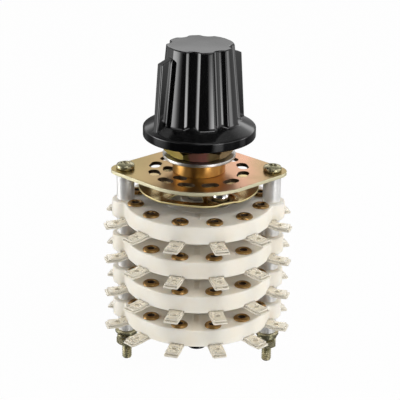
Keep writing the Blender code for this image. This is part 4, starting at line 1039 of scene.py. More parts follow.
class SWITCH_OT_bushing(bpy.types.Operator):
    """Makes the threaded brass bushing, the panel washer and the panel nut"""
    bl_idname = "switch.bushing"
    bl_label = "Bushing"

    def execute(self, context):
        s = context.scene.switch_hardware
        radius, rim = mm(s.bushing_radius), mm(s.shoulder_radius)
        bore, neck, columns = 3.2, mm(s.bushing_radius) - 0.4, 96
        top, bottom = high("bushing")[2], low("bushing")[2]
        over, under = high("front_plate")[2] + 0.02, low("front_plate")[2] - 0.05
        mouth = bore + 0.25
        head = soften([(bore, top - 0.3), (mouth, top), (5.4, top), (5.75, top - 0.35)], 0.1, closed=False)
        thread = screw_thread(radius, 0.34, mm(s.bushing_pitch), top - 0.5, 0.35, columns, 8)
        shoulder = soften([(neck, 0.3), (neck, 0.0), (rim, 0.0), (rim, over), (5.5, over), (5.5, under),
                           (6.5, under), (neck, bottom), (mouth, bottom), (bore, bottom + 0.3)],
                          0.22, closed=False)
        rows = np.concatenate([ring_rows(head, columns), thread, ring_rows(shoulder, columns)])
        piece("bushing_turned", [grid(rows, close_rows=True)], finish("brass"), "frame", ["bushing"],
              50.0)
        top, bottom = high("panel_washer")[2], low("panel_washer")[2] - 0.22
        outer, inner = mm(s.washer_radius), radius + 0.1
        washer = soften([(outer, top), (outer, bottom), (inner, bottom), (inner, top)], 0.22)
        piece("panel_washer_ring", [turn(washer, 128, closed=True)], finish("nickel"), "frame",
              ["panel_washer"])
        top, bottom = high("panel_nut")[2], low("panel_nut")[2] - 0.2
        nut = hexagon_nut(mm(s.nut_flats), top, bottom, radius + 0.05, 0.35, math.radians(4.5), 240)
        piece("panel_nut_hexagon", [nut], finish("nut"), "frame", ["panel_nut"], 28.0)
        return {'FINISHED'}


# Front plate
def plate_outline(reach, radius, tip):
    """One large circle and two small ones in a tight band: arcs that meet where cos t = (R - r) / d."""
    t = math.acos((radius - tip) / reach)
    right = np.linspace(-t, t, 48)
    back = np.linspace(t, np.pi - t, 48)
    half = np.vstack([np.column_stack([reach + tip * np.cos(right), tip * np.sin(right)]),
                      np.column_stack([radius * np.cos(back), radius * np.sin(back)])])
    return np.vstack([half, -half])


def circle(x, y, radius, count=40):
    """Points round a circle."""
    a = around(count)
    return np.column_stack([x + radius * np.cos(a), y + radius * np.sin(a)])


def slot_outline(direction, distance, long, wide):
    """Points round a slot with round ends that lies square to its direction, at a distance from the axis."""
    a = np.linspace(-np.pi / 2, np.pi / 2, 20)
    half = np.column_stack([(long - wide) / 2 + wide / 2 * np.cos(a), wide / 2 * np.sin(a)])
    x, y = np.vstack([half, -half]).T
    y = y - distance
    c, s = math.cos(direction), math.sin(direction)
    return np.column_stack([c * x - s * y, s * x + c * y])


def sheet_metal(name, outlines, top, bottom, edge, material, body, nodes):
    """A punched sheet with slightly rounded edges, filled between its outlines by a flat curve made a mesh.

    The mesh is then moved to its height and its doubles are merged.
    """
    curve = bpy.data.curves.new(name, 'CURVE')
    curve.dimensions = '2D'
    curve.fill_mode = 'BOTH'
    curve.extrude = ((top - bottom) / 2 - edge) / 1000.0
    curve.bevel_depth = edge / 1000.0
    curve.bevel_resolution = 2
    curve.offset = -edge / 1000.0
    for outline in outlines:
        spline = curve.splines.new('POLY')
        spline.points.add(len(outline) - 1)
        flat = np.column_stack([outline / 1000.0, np.zeros(len(outline)), np.ones(len(outline))])
        spline.points.foreach_set("co", flat.ravel())
        spline.use_cyclic_u = True
    draft = bpy.data.objects.new(name + "_draft", curve)
    bpy.context.scene.collection.objects.link(draft)
    bpy.context.view_layer.update()
    mesh = bpy.data.meshes.new_from_object(draft.evaluated_get(bpy.context.evaluated_depsgraph_get()))
    bpy.data.objects.remove(draft, do_unlink=True)
    points = np.empty(len(mesh.vertices) * 3)
    mesh.vertices.foreach_get("co", points)
    points = points.reshape(-1, 3)
    points[:, 2] += (top + bottom) / 2000.0
    mesh.vertices.foreach_set("co", points.ravel())
    mesh.shade_smooth()
    made = bpy.data.objects.new(name, mesh)
    bpy.context.scene.collection.objects.link(made)
    weld = made.modifiers.new("weld", 'WELD')
    weld.merge_threshold = 1e-6
    bpy.context.view_layer.update()
    mesh = bpy.data.meshes.new_from_object(made.evaluated_get(bpy.context.evaluated_depsgraph_get()))
    made.modifiers.remove(weld)
    made.data = mesh
    mesh.set_sharp_from_angle(angle=math.radians(14))
    mesh.name = name
    return dress(made, material, body, nodes)


class SWITCH_OT_plate(bpy.types.Operator):
    """Makes the front plate with its index slots and stop slots"""
    bl_idname = "switch.plate"
    bl_label = "Front plate"

    def execute(self, context):
        s = context.scene.switch_hardware
        tip = 4.2
        reach = high("front_plate")[0] - tip
        outlines = [plate_outline(reach, high("front_plate")[1], tip),
                    circle(0, 0, mm(s.bushing_radius) - 0.4, 72)]
        index = mm(s.index_circle), mm(s.index_long), mm(s.index_wide)
        stop = mm(s.stop_circle), mm(s.stop_long), mm(s.stop_wide)
        outlines += [slot_outline(angle, *index) for angle in CONTACT_ANGLES]
        outlines += [slot_outline(angle, *stop) for angle in np.radians([-90, -36])]
        outlines += [circle(side * reach, 0.0, mm(s.bolt_radius) + 0.2) for side in (-1, 1)]
        sheet_metal("front_plate_sheet", outlines, high("front_plate")[2], low("front_plate")[2], 0.16,
                    finish("plate"), "frame", ["front_plate"])
        return {'FINISHED'}


# Detent
def detent_heights(x, y, direction, circle_radius):
    """Height of the disc's sheet over its plane: a table over the distance from each pocket's middle.

    The table runs down a dish round the ball, up its wall and over a flared lip.
    """
    distance = (0.0, 0.6, 1.1, 1.6, 2.1, 2.6, 3.0, 3.3, 3.6, 3.9, 4.2, 4.5, 4.8, 5.1, 5.5)
    height = (-1.87, -1.82, -1.66, -1.40, -1.04, -0.62, -0.26, 0.04, 0.26, 0.40, 0.44, 0.38, 0.22, 0.08, 0.0)
    up = np.zeros_like(x)
    for half in (0.0, np.pi):
        px = circle_radius * math.sin(direction + half)
        py = -circle_radius * math.cos(direction + half)
        up += np.interp(np.hypot(x - px, y - py), distance, height)
    return up


BALL_OVER_PLANE = 0.78
WINDOW_START, WINDOW_END = math.radians(-37), math.radians(6)
WINDOW_INNER, WINDOW_OUTER = 9.2, 14.6


def detent_surface():
    """The disc: z = plane + height, out to a circle drawn in beside each window; window faces are left out.

    Beside a window the rim is 0.6 of the chord plus 0.4 of the circle.
    """
    ball = centre("detent_ball_1")
    direction = math.atan2(ball[0], -ball[1])
    circle_radius = math.hypot(ball[0], ball[1])
    radius = high("detent_disc")[0]
    start, end = WINDOW_START, WINDOW_END
    span = [np.linspace(start, end, 60), np.linspace(end, start + np.pi, 180)[1:-1]]
    a = np.concatenate([span[0], span[1], span[0] + np.pi, span[1] + np.pi])
    away = np.mod(a - start, np.pi) - (end - start) / 2
    chord = radius * math.cos((end - start) / 2) / np.cos(np.clip(away, -1.0, 1.0))
    rim = np.where(np.abs(away) <= (end - start) / 2 + 1e-9, 0.6 * chord + 0.4 * radius, radius)
    inside = np.concatenate([np.linspace(3.1, WINDOW_INNER, 16),
                             np.linspace(WINDOW_INNER, WINDOW_OUTER, 34)[1:]])
    outside = WINDOW_OUTER + np.linspace(0.0, 1.0, 16)[1:, None] * (rim - WINDOW_OUTER)
    radii = np.vstack([np.broadcast_to(inside[:, None], (len(inside), len(a))), outside])
    x, y = radii * np.sin(a), -radii * np.cos(a)
    z = ball[2] - BALL_OVER_PLANE + detent_heights(x, y, direction, circle_radius)
    points, quads, fans = grid(np.stack([x, y, z], -1))
    middle = points[quads].mean(axis=1)
    r = np.hypot(middle[:, 0], middle[:, 1])
    azimuth = np.mod(np.arctan2(middle[:, 0], -middle[:, 1]) - start, np.pi)
    quads = quads[(r < WINDOW_INNER) | (r > WINDOW_OUTER) | (azimuth > end - start)]
    used = np.unique(quads)
    renumber = np.zeros(len(points), int)
    renumber[used] = np.arange(len(used))
    return points[used], renumber[quads], fans


class SWITCH_OT_detent(bpy.types.Operator):
    """Makes the detent disc with its ball pockets and windows, and the two balls"""
    bl_idname = "switch.detent"
    bl_label = "Detent"

    def execute(self, context):
        disc = piece("detent_disc_pressed", [detent_surface()], finish("gold"), "rotor", ["detent_disc"],
                     40.0)
        wall = disc.modifiers.new("sheet", 'SOLIDIFY')
        wall.thickness = 0.0006
        wall.offset = -1.0
        plane = centre("detent_ball_1")[2] - BALL_OVER_PLANE
        hub = soften([(4.6, plane + 0.9), (4.6, plane - 0.6), (3.1, plane - 0.6), (3.1, plane + 0.9)], 0.2)
        piece("detent_hub", [turn(hub, 72, closed=True)], finish("gold"), "rotor", [])
        for index in (1, 2):
            node = f"detent_ball_{index}"
            radius = (high(node)[2] - low(node)[2]) / 2
            tilt = np.linspace(np.pi / 2, -np.pi / 2, 33)
            profile = np.column_stack([radius * np.cos(tilt), radius * np.sin(tilt)])
            profile[[0, -1], 0] = 0.0
            ball = moved(turn(profile, 64), centre(node))
            piece(f"detent_ball_{index}_polished", [ball], finish("ball"), "rotor", [node])
        return {'FINISHED'}


# Wafers
def wafer_outline(radius, ear, ear_radius, blend):
    """The ring's circle joined with the ear circles; the joint is rounded by averaging along the line."""
    count, keep = 2880, 4
    a = around(count)
    inside = np.clip(ear_radius ** 2 - (ear * np.sin(a)) ** 2, 0.0, None)
    r = np.maximum(radius, np.where(inside > 0, np.abs(ear * np.cos(a)) + np.sqrt(inside), 0.0))
    x, y = r * np.cos(a), r * np.sin(a)
    step = np.hypot(np.diff(x, append=x[:1]), np.diff(y, append=y[:1]))
    along = np.concatenate([[0.0], np.cumsum(step)])
    even = np.linspace(0.0, along[-1], count, endpoint=False)
    x = np.interp(even, along, np.append(x, x[0]))
    y = np.interp(even, along, np.append(y, y[0]))
    width = blend * count / along[-1]
    kernel = np.exp(-0.5 * (np.arange(-int(3 * width), int(3 * width) + 1) / width) ** 2)
    kernel /= kernel.sum()
    pad = len(kernel)
    x = np.convolve(np.concatenate([x[-pad:], x, x[:pad]]), kernel, 'same')[pad:-pad]
    y = np.convolve(np.concatenate([y[-pad:], y, y[:pad]]), kernel, 'same')[pad:-pad]
    return np.column_stack([x, y])[::keep]


def stator_surface(s, thickness):
    """The ceramic cup from its underside at 0 to its thickness.

    Rows run from the hole over the top, down the outside and back inside. Near an edge the outline is drawn
    in by e (1 - sin a) while the height changes by e (1 - cos a).
    """
    ear = high("tie_bolt_right")[0] - 2.9
    outline = wafer_outline(mm(s.radius), ear, mm(s.ear_radius), mm(s.ear_blend) * 0.35)
    edge, hole, cavity, web = mm(s.edge), mm(s.hole), mm(s.cavity), mm(s.web)
    unit = outline / np.linalg.norm(outline, axis=1, keepdims=True)
    tangent = np.roll(outline, -1, axis=0) - np.roll(outline, 1, axis=0)
    normal = np.column_stack([tangent[:, 1], -tangent[:, 0]])
    normal /= np.linalg.norm(normal, axis=1, keepdims=True)
    bend = np.linspace(0.0, np.pi / 2, 6)
    lip = unit * (hole + 0.25)
    inner = outline - normal * edge * 1.2
    rows = [(lip + (inner - lip) * share, thickness) for share in (0.0, 0.04, 0.3, 0.65, 1.0)]
    rounding = [(outline - normal * edge * (1 - math.sin(b)), edge * (1 - math.cos(b))) for b in bend]
    rows += [(points, thickness - fall) for points, fall in rounding]
    rows += [(outline, thickness * 0.5)] + rounding[::-1]
    line = soften([(cavity + 0.6, 0.0), (cavity, 0.0), (cavity, thickness - web), (hole, thickness - web),
                   (hole, thickness), (hole + 0.3, thickness)], 0.25, closed=False)[:-1]
    rows += [(unit * r, z) for r, z in line]
    rows = [np.column_stack([points, np.full(len(points), height)]) for points, height in rows]
    return grid(np.array(rows), close_rows=True)


def eyelet_surface(radius, height, depth):
    """One eyelet on a ceramic top at 0: a domed flange, a round mouth and a barrel through the ceramic."""
    line = soften([(radius * 0.64, height), (radius * 0.86, height * 0.76), (radius, height * 0.36),
                   (radius, -0.02), (1.35, -0.1), (1.30, -0.5), (1.30, -depth), (0.75, -depth), (0.75, -0.5),
                   (0.90, 0.05), (radius * 0.46, height * 0.80)], 0.3, steps=3)
    return turn(line, 32, closed=True)


def eyelet_bore_surface(radius, height, depth):
    """A lining of painted shade in an eyelet's mouth and barrel, 0.03 mm inside it."""
    line = [(radius * 0.46 - 0.03, height * 0.72), (0.87, 0.05), (0.72, -0.5), (0.72, -depth), (0.62, -depth),
            (0.62, -0.5), (0.77, 0.05), (radius * 0.46 - 0.12, height * 0.72)]
    return turn(soften(line, 0.1, steps=1), 24, closed=True)


def rivet_end_surface(depth):
    """The rolled lower end of an eyelet, below the leaf."""
    line = soften([(1.75, -depth - 0.05), (1.75, -depth - 0.42), (1.3, -depth - 0.58), (0.86, -depth - 0.45),
                   (0.86, -depth - 0.05)], 0.15, steps=2)
    return turn(line, 24, closed=True)


def lug_plate(width, inner, outer, top, thickness, hole_at, hole_radius, corner):
    """One layer of a lug at the front: a rounded rectangle round a small hole."""
    w = width / 2
    outline = soften([(-w, -outer), (w, -outer), (w, -inner), (-w, -inner)], corner, steps=4)
    ring = np.vstack([outline, outline[:1]])
    along = np.concatenate([[0.0], np.cumsum(np.linalg.norm(np.diff(ring, axis=0), axis=1))])
    even = np.linspace(0.0, along[-1], 72, endpoint=False)
    outline = np.column_stack([np.interp(even, along, ring[:, 0]), np.interp(even, along, ring[:, 1])])
    a = np.arctan2(outline[:, 1] + hole_at, outline[:, 0])
    hole = np.column_stack([hole_radius * np.cos(a), hole_radius * np.sin(a) - hole_at])
    return slab(outline, hole, top, top - thickness, 0.14)


def contact_surfaces(s, common, top, seed):
    """One contact at the front, below the ceramic at height top: jaws, leaf and a lug of two layers.

    Beyond 22 mm from the axis a lug is bent: z rises by its random lift and falls by droop times the smooth
    step 3t^2 - 2t^3, with a faint ripple sin(ax) sin(by), and x is turned by its random yaw.
    """
    rng = np.random.default_rng(seed)
    lift = rng.uniform(-0.01, 0.03)
    yaw = rng.uniform(-0.03, 0.03)
    circle_radius, reach, width = mm(s.contact_circle), mm(s.lug_reach), mm(s.lug_width)
    jaw = mm(s.cavity) - 0.25
    tip = jaw - (3.4 if common else 1.5)
    side = (1.0, 0.0, 0.0)
    leaf_line = [(circle_radius + 2.6, top - 0.2), (jaw, top - 0.2), (tip, top - 0.16),
                 (tip - 0.35, top - 0.5)]
    upper_line = [(jaw + 0.05, top - 0.2), (jaw - 0.12, top + 0.1), (jaw - 0.12, top + 1.15),
                  (jaw - 0.3, top + 1.34), (tip, top + 1.3), (tip - 0.35, top + 1.65)]
    parts = []
    for line in (leaf_line, upper_line):
        rounded = soften(line, 0.25, closed=False)
        path = np.column_stack([np.zeros(len(rounded)), -rounded[:, 0], rounded[:, 1]])
        parts.append(carry(path, bar_section(2.2, 0.36, 0.1), side))
    rise, drop = mm(s.lug_rise), mm(s.lug_drop)
    back = circle_radius + 1.3
    droop = 0.15 + 0.55 * math.sin((seed % 20 + 0.5) * TAU / CONTACTS) ** 4
    layers = [lug_plate(width - 0.35, back, reach - rng.uniform(0.5, 0.8), top + rise, 0.56, 24.5, 0.75, 0.4),
              lug_plate(width, back, reach, top + rise - 0.61, rise + drop - 0.63, 21.2, 0.5, 0.5)]
    for points, quads, fans in layers:
        out = np.clip(-points[:, 1] - 22.0, 0.0, None)
        ripple = 0.03 * np.sin(points[:, 0] * 2.3 + seed) * np.sin(points[:, 1] * 1.9 + 2 * seed)
        bend = np.clip(out / 2.4, 0.0, 1.0)
        z = points[:, 2] + out * lift + ripple * np.clip(out, 0.0, 1.0) - droop * bend * bend * (3 - 2 * bend)
        x = points[:, 0] + out * yaw
        parts.append((np.column_stack([x, points[:, 1], z]), quads, fans))
    return parts


class SWITCH_OT_wafers(bpy.types.Operator):
    """Makes the four ceramic stators with their eyelet holes, the notches over the lugs and a groove"""
    bl_idname = "switch.wafers"
    bl_label = "Wafers"

    def execute(self, context):
        s = context.scene.switch_wafer
        thickness = high("wafer_1")[2] - mm(s.eyelet_height) - low("wafer_1")[2] - mm(s.lug_drop)
        hole, circle_radius, side = mm(s.hole), mm(s.contact_circle), (1.0, 0.0, 0.0)
        draft = piece("stator_draft", [stator_surface(s, thickness)], finish("ceramic"), "frame")
        bore = turn([(0.0, thickness + 1), (1.32, thickness + 1), (1.32, -1.0), (0.0, -1.0)], 32)
        cut_away(draft, [turned_to(moved(bore, (0.0, -circle_radius, 0.0)), CONTACT_ANGLES)])
        mark = np.column_stack([np.zeros(3), -np.linspace(hole - 1.0, hole + 5.3, 3), np.full(3, thickness)])
        cut_away(draft, [carry(mark, bar_section(1.75, 0.5, 0.12), side)])
        notch = np.column_stack([np.zeros(3), -np.linspace(circle_radius + 1.0, mm(s.radius) + 1.5, 3),
                                 np.full(3, mm(s.lug_rise) + 0.16 - 1.0)])
        section = bar_section(mm(s.lug_width) + 0.35, 2.0, 0.2)
        cut_away(draft, [turned_to(carry(notch, section, side), CONTACT_ANGLES)])
        base = np.empty(len(draft.data.vertices) * 3)
        draft.data.vertices.foreach_get("co", base)
        base = base.reshape(-1, 3)
        for index in WAFERS:
            mesh = draft.data.copy()
            level = high(f"wafer_{index}")[2] - mm(s.eyelet_height) - thickness
            mesh.vertices.foreach_set("co", (base + np.array([0.0, 0.0, level / 1000.0])).ravel())
            mesh.update()
            made = bpy.data.objects.new(f"stator_{index}", mesh)
            context.scene.collection.objects.link(made)
            dress(made, finish("ceramic"), "frame", [f"wafer_{index}"])
        bpy.data.objects.remove(draft, do_unlink=True)
        return {'FINISHED'}


class SWITCH_OT_contacts(bpy.types.Operator):
    """Makes the twelve contacts and eyelets of each wafer"""
    bl_idname = "switch.contacts"
    bl_label = "Contacts"

    def execute(self, context):
        s = context.scene.switch_wafer
        radius, height = mm(s.eyelet_radius), mm(s.eyelet_height)
        for index in WAFERS:
            top = high(f"wafer_{index}")[2] - height
            under = low(f"wafer_{index}")[2] + mm(s.lug_drop)
            at = (0.0, -mm(s.contact_circle), top)
            shapes = (eyelet_surface(radius, height, 2.4), rivet_end_surface(top - under),
                      eyelet_bore_surface(radius, height, 2.2))
            eyelet, end, bore = (turned_to(moved(shape, at), CONTACT_ANGLES) for shape in shapes)
            # A near-black lining in each eyelet's bore: painted shade.
            piece(f"eyelet_shade_linings_{index}", [bore], finish("eyelet_bore"), "frame", [])
            piece(f"eyelets_{index}", [eyelet, end], finish("eyelet"), "frame", [])
            parts = []
            for number, angle in enumerate(CONTACT_ANGLES):
                for part in contact_surfaces(s, number == COMMON, under, index * 20 + number):
                    parts.append(turned_to(part, angle))
            piece(f"contacts_{index}", parts, finish("silver"), "frame", [])
        return {'FINISHED'}


class SWITCH_OT_rotors(bpy.types.Operator):
    """Makes the ceramic rotors and their blade rings"""
    bl_idname = "switch.rotors"
    bl_label = "Rotors"

    def execute(self, context):
        for index in WAFERS:
            node = f"rotor_{index}"
            top, bottom = high(node)[2], low(node)[2]
            blade_top, blade_bottom = high(f"rotor_blade_{index}")[2], low(f"rotor_blade_{index}")[2]
            hub, neck, flange, bore = 5.2, 10.35, 11.6, 3.05
            face, step, seat = top - 0.6, top - 2.85, blade_top + 0.02
            line = soften([(hub, top), (hub, face), (neck, face), (neck, step), (flange, step),
                           (flange, seat), (hub, seat), (hub, bottom), (bore, bottom), (bore, top)], 0.3)
            body = turn(line, 128, closed=True)
            piece(f"rotor_body_{index}", [body], finish("ceramic"), "rotor", [node])
            blade = self.blade(blade_top, blade_bottom)
            piece(f"blade_ring_{index}", [blade], finish("silver"), "rotor", [f"rotor_blade_{index}"])
        return {'FINISHED'}

    def blade(self, top, bottom):
        """A ring with a tongue: r = 13.05 + 1.25 / (1 + exp((|a| - 7.5) / 0.8)), with a in degrees."""
        a = around(360)
        away = np.abs(np.mod(a - PHOTOGRAPHED_CONTACT + 1.5 * np.pi, TAU) - np.pi)
        r = 13.05 + 1.25 / (1 + np.exp((away - math.radians(7.5)) / math.radians(0.8)))
        outline = np.column_stack([r * np.cos(a), r * np.sin(a)])
        return slab(outline, circle(0, 0, 5.75, len(a)), top, bottom, 0.12)


# Tie bolts and their stack
BOLT_COLUMNS = 160


def bolt_head_rows(radius, height, recess_length, recess_width, recess_depth):
    """Rows of a pan head about Z: z = h (1 - 0.34 (r / R)^3) less a cross-shaped recess with sloped walls."""
    a = around(BOLT_COLUMNS)[None, :]
    r = np.linspace(0.0, radius * 0.93, 44)[:, None]
    x, y = r * np.cos(a), r * np.sin(a)
    z = height * (1 - 0.34 * (r / radius) ** 3) + 0 * a
    sharp = 0.07

    def inside(u, v):
        arm = 1 / (1 + np.exp((np.abs(u) - recess_length / 2) / sharp))
        slim = 1 / (1 + np.exp((np.abs(v) - recess_width / 2) / sharp))
        return arm * slim

    cross = np.maximum(inside(x, y), inside(y, x))
    fall = np.clip(1 - np.maximum(np.abs(x), np.abs(y)) / (recess_length * 0.62), 0.25, 1.0)
    z = z - recess_depth * cross * fall
    return np.stack([x, y, z], -1)


class SWITCH_OT_tie_bolts(bpy.types.Operator):
    """Makes the two long bolts with their threads"""
    bl_idname = "switch.tie_bolts"
    bl_label = "Tie bolts"

    def execute(self, context):
        hardware = context.scene.switch_hardware
        shank, pitch = mm(hardware.bolt_radius), mm(hardware.bolt_pitch)
        for number, side in enumerate(SIDES):
            node = f"tie_bolt_{side}"
            at = centre(node)
            top, bottom = high(node)[2], low(node)[2]
            seat = high("front_plate")[2] + 0.02
            radius, height, foot = (high(node)[0] - low(node)[0]) / 2, top - seat, bottom - seat
            head = bolt_head_rows(radius, height, 2.7, 0.8, 1.1)
            spin = math.radians(18 + 31 * number)
            c, s = math.cos(spin), math.sin(spin)
            x, y = head[..., 0].copy(), head[..., 1].copy()
            head[..., 0], head[..., 1] = c * x - s * y, s * x + c * y
            rim = soften([(radius * 0.93, height * 0.726), (radius, height * 0.5), (radius, 0.0),
                          (shank, 0.0), (shank, -1.0)], 0.3, closed=False)[1:]
            start = low("wafer_4")[2] - 4.0 - seat
            thread = screw_thread(shank, 0.36, pitch, start, foot + 0.3, BOLT_COLUMNS, 7)
            upper = ring_rows(np.vstack([rim, (shank, start + 0.1)]), BOLT_COLUMNS)
            end = ring_rows([(1.2, foot + 0.1), (1.0, foot), (0.0, foot)], BOLT_COLUMNS)
            rows = np.concatenate([head, upper, thread, end])
            rows[0] = rows[0].mean(axis=0)
            bolt = moved(grid(rows), (at[0], at[1], seat))
            piece(f"tie_bolt_{side}_threaded", [bolt], finish("zinc"), "frame", [node], 45.0)
        return {'FINISHED'}


class SWITCH_OT_tie_stack(bpy.types.Operator):
    """Makes the spacers, washers and nuts on the tie bolts"""
    bl_idname = "switch.tie_stack"
    bl_label = "Tie-bolt stack"

    def execute(self, context):
        wafer, s = context.scene.switch_wafer, context.scene.switch_hardware
        bore, fit = mm(s.spacer_bore), 0.02
        wafer_tops = [high(f"wafer_{i}")[2] - mm(wafer.eyelet_height) for i in WAFERS]
        wafer_unders = [low(f"wafer_{i}")[2] + mm(wafer.lug_drop) for i in WAFERS]
        for side in SIDES:
            at = centre(f"tie_bolt_{side}")
            names = [f"upper_spacer_{side}"] + [f"spacer_{i}_{side}" for i in WAFERS]
            tops = [low("front_plate")[2]] + wafer_unders
            bottoms = wafer_tops + [low(f"spacer_4_{side}")[2]]
            for name, top, bottom in zip(names, tops, bottoms):
                self.tube(f"{name}_tube", at, mm(s.spacer_radius), bore, top - fit, bottom + fit, 0.15,
                          "aluminium", name, "aluminium")
            node = f"flat_washer_{side}"
            self.tube(f"{node}_ring", at, 3.5, bore, high(node)[2] + 0.2, low(node)[2] - 0.03, 0.12,
                      "zinc", node, "yellow_zinc")
            self.spring_washer(side, at)
            node = f"hex_nut_{side}"
            turned = math.radians(12 if side == "left" else 27)
            nut = hexagon_nut(mm(s.bolt_nut_flats), high(node)[2], low(node)[2], 1.55, 0.2, turned, 144)
            nut = moved(nut, (at[0], at[1], 0.0))
            piece(f"{node}_turned", [nut], finish("zinc"), "frame", [node], 28.0)
        return {'FINISHED'}

    def tube(self, name, at, outer, inner, top, bottom, edge, material, node, slot):
        """A plain tube or flat ring about a tie bolt."""
        wall = soften([(outer, top), (outer, bottom), (inner, bottom), (inner, top)], edge)
        ring = moved(turn(wall, 72, closed=True), (at[0], at[1], 0.0))
        piece(name, [ring], finish(material), "frame", [node])

    def spring_washer(self, side, at):
        """One split ring that climbs from its lower to its upper end over almost a turn."""
        node = f"spring_washer_{side}"
        top, bottom = high(node)[2], low(node)[2]
        thick = (top - bottom) * 0.72
        a = np.linspace(0.0, TAU - math.radians(16), 90) + math.radians(200 if side == "left" else 30)
        climb = np.linspace(0.0, 1.0, 90)
        z = bottom + thick / 2 - 0.15 + (top - bottom - thick + 0.3) * climb
        path = np.column_stack([at[0] + 2.35 * np.cos(a), at[1] + 2.35 * np.sin(a), z])
        out = np.column_stack([np.cos(a), np.sin(a), np.zeros_like(a)])
        coil = carry(path, bar_section(1.35, thick, 0.12), out)
        piece(f"{node}_coil", [coil], finish("zinc"), "frame", [node])


# Studio
def studio_light(azimuth, elevation):
    """Light that comes from a direction: 1 is white paper.

    Near the horizon it runs through tables over the azimuth (0 is the camera's side, +90 the right): a
    softbox at the left, two narrow ones at the right and a dark gap between them; it fades towards the table
    top. Above it lie two pale flanks with the same gap, a lit rear wall, a bright strip over the camera's
    right and a dim ceiling.
    """
    level = np.interp(azimuth, (-180, -150, -138, -118, -106, -98, -84, -74, -66, -58, 24),
                      (0.10, 0.12, 0.5, 0.5, 1.2, 5.8, 5.8, 4.0, 1.0, 0.05, 0.03))
    right = np.interp(azimuth, (24, 32, 60, 70, 78, 88, 94, 103, 110, 138, 180),
                      (0.03, 0.6, 1.1, 1.2, 0.7, 0.6, 2.8, 2.8, 0.5, 0.3, 0.35))
    level = np.where(azimuth > 24, right, level)
    low_box = np.interp(azimuth, (26, 36, 46, 52), (0.0, 8.0, 8.0, 0.0))
    level += low_box * np.interp(elevation, (-9, -3), (1, 0))
    side = np.abs(azimuth)
    low_share = np.interp(side, (110, 155), (0.03, 0.6))
    level = level * (low_share + (1 - low_share) * np.interp(elevation, (-19, -14), (0, 1)))
    flank = np.interp(azimuth, (-140, -126, -60, -44, -34, 24, 32, 44, 90, 104),
                      (0.5, 0.85, 0.9, 0.7, 0.04, 0.04, 0.6, 0.75, 0.7, 0.5))
    rear = np.interp(elevation, (5, 10, 14, 16, 19, 24, 29, 36, 50, 75),
                     (0.4, 0.35, 0.42, 0.6, 1.9, 1.9, 0.9, 0.7, 0.25, 0.5))
    rear = rear * np.interp(azimuth, (-172, -152, -120, 120), (1.0, 0.5, 0.5, 1.0))
    strip = np.interp(elevation, (40, 43, 51, 54), (0.0, 5.5, 5.5, 0.1))
    strip = strip * np.interp(azimuth, (-14, 4, 52, 66), (0, 1, 1, 0))
    middle = flank * np.interp(elevation, (30, 44), (1, 0.12)) + strip
    back_share = np.interp(side, (115, 148), (0, 1))
    upper = rear * back_share + middle * (1 - back_share)
    rise = np.clip((elevation - 6) / 9, 0.0, 1.0)
    return level * (1 - rise) + upper * rise


def area_lamp(name, azimuth, elevation, distance, width, height, power):
    """A soft rectangular lamp that looks at the switch; reflections show the surround in its place."""
    data = bpy.data.lights.new(name, 'AREA')
    data.shape = 'RECTANGLE'
    data.size = width
    data.size_y = height
    data.energy = power
    lamp = bpy.data.objects.new(name, data)
    bpy.context.scene.collection.objects.link(lamp)
    a, e = math.radians(azimuth), math.radians(elevation)
    back = np.array([math.sin(a) * math.cos(e), -math.cos(a) * math.cos(e), math.sin(e)])
    target = Vector((0.0, 0.0, -0.015))
    lamp.location = target + Vector(back) * distance
    lamp.rotation_mode = 'QUATERNION'
    lamp.rotation_quaternion = Vector(-back).to_track_quat('-Z', 'Y')
    lamp.visible_glossy = False


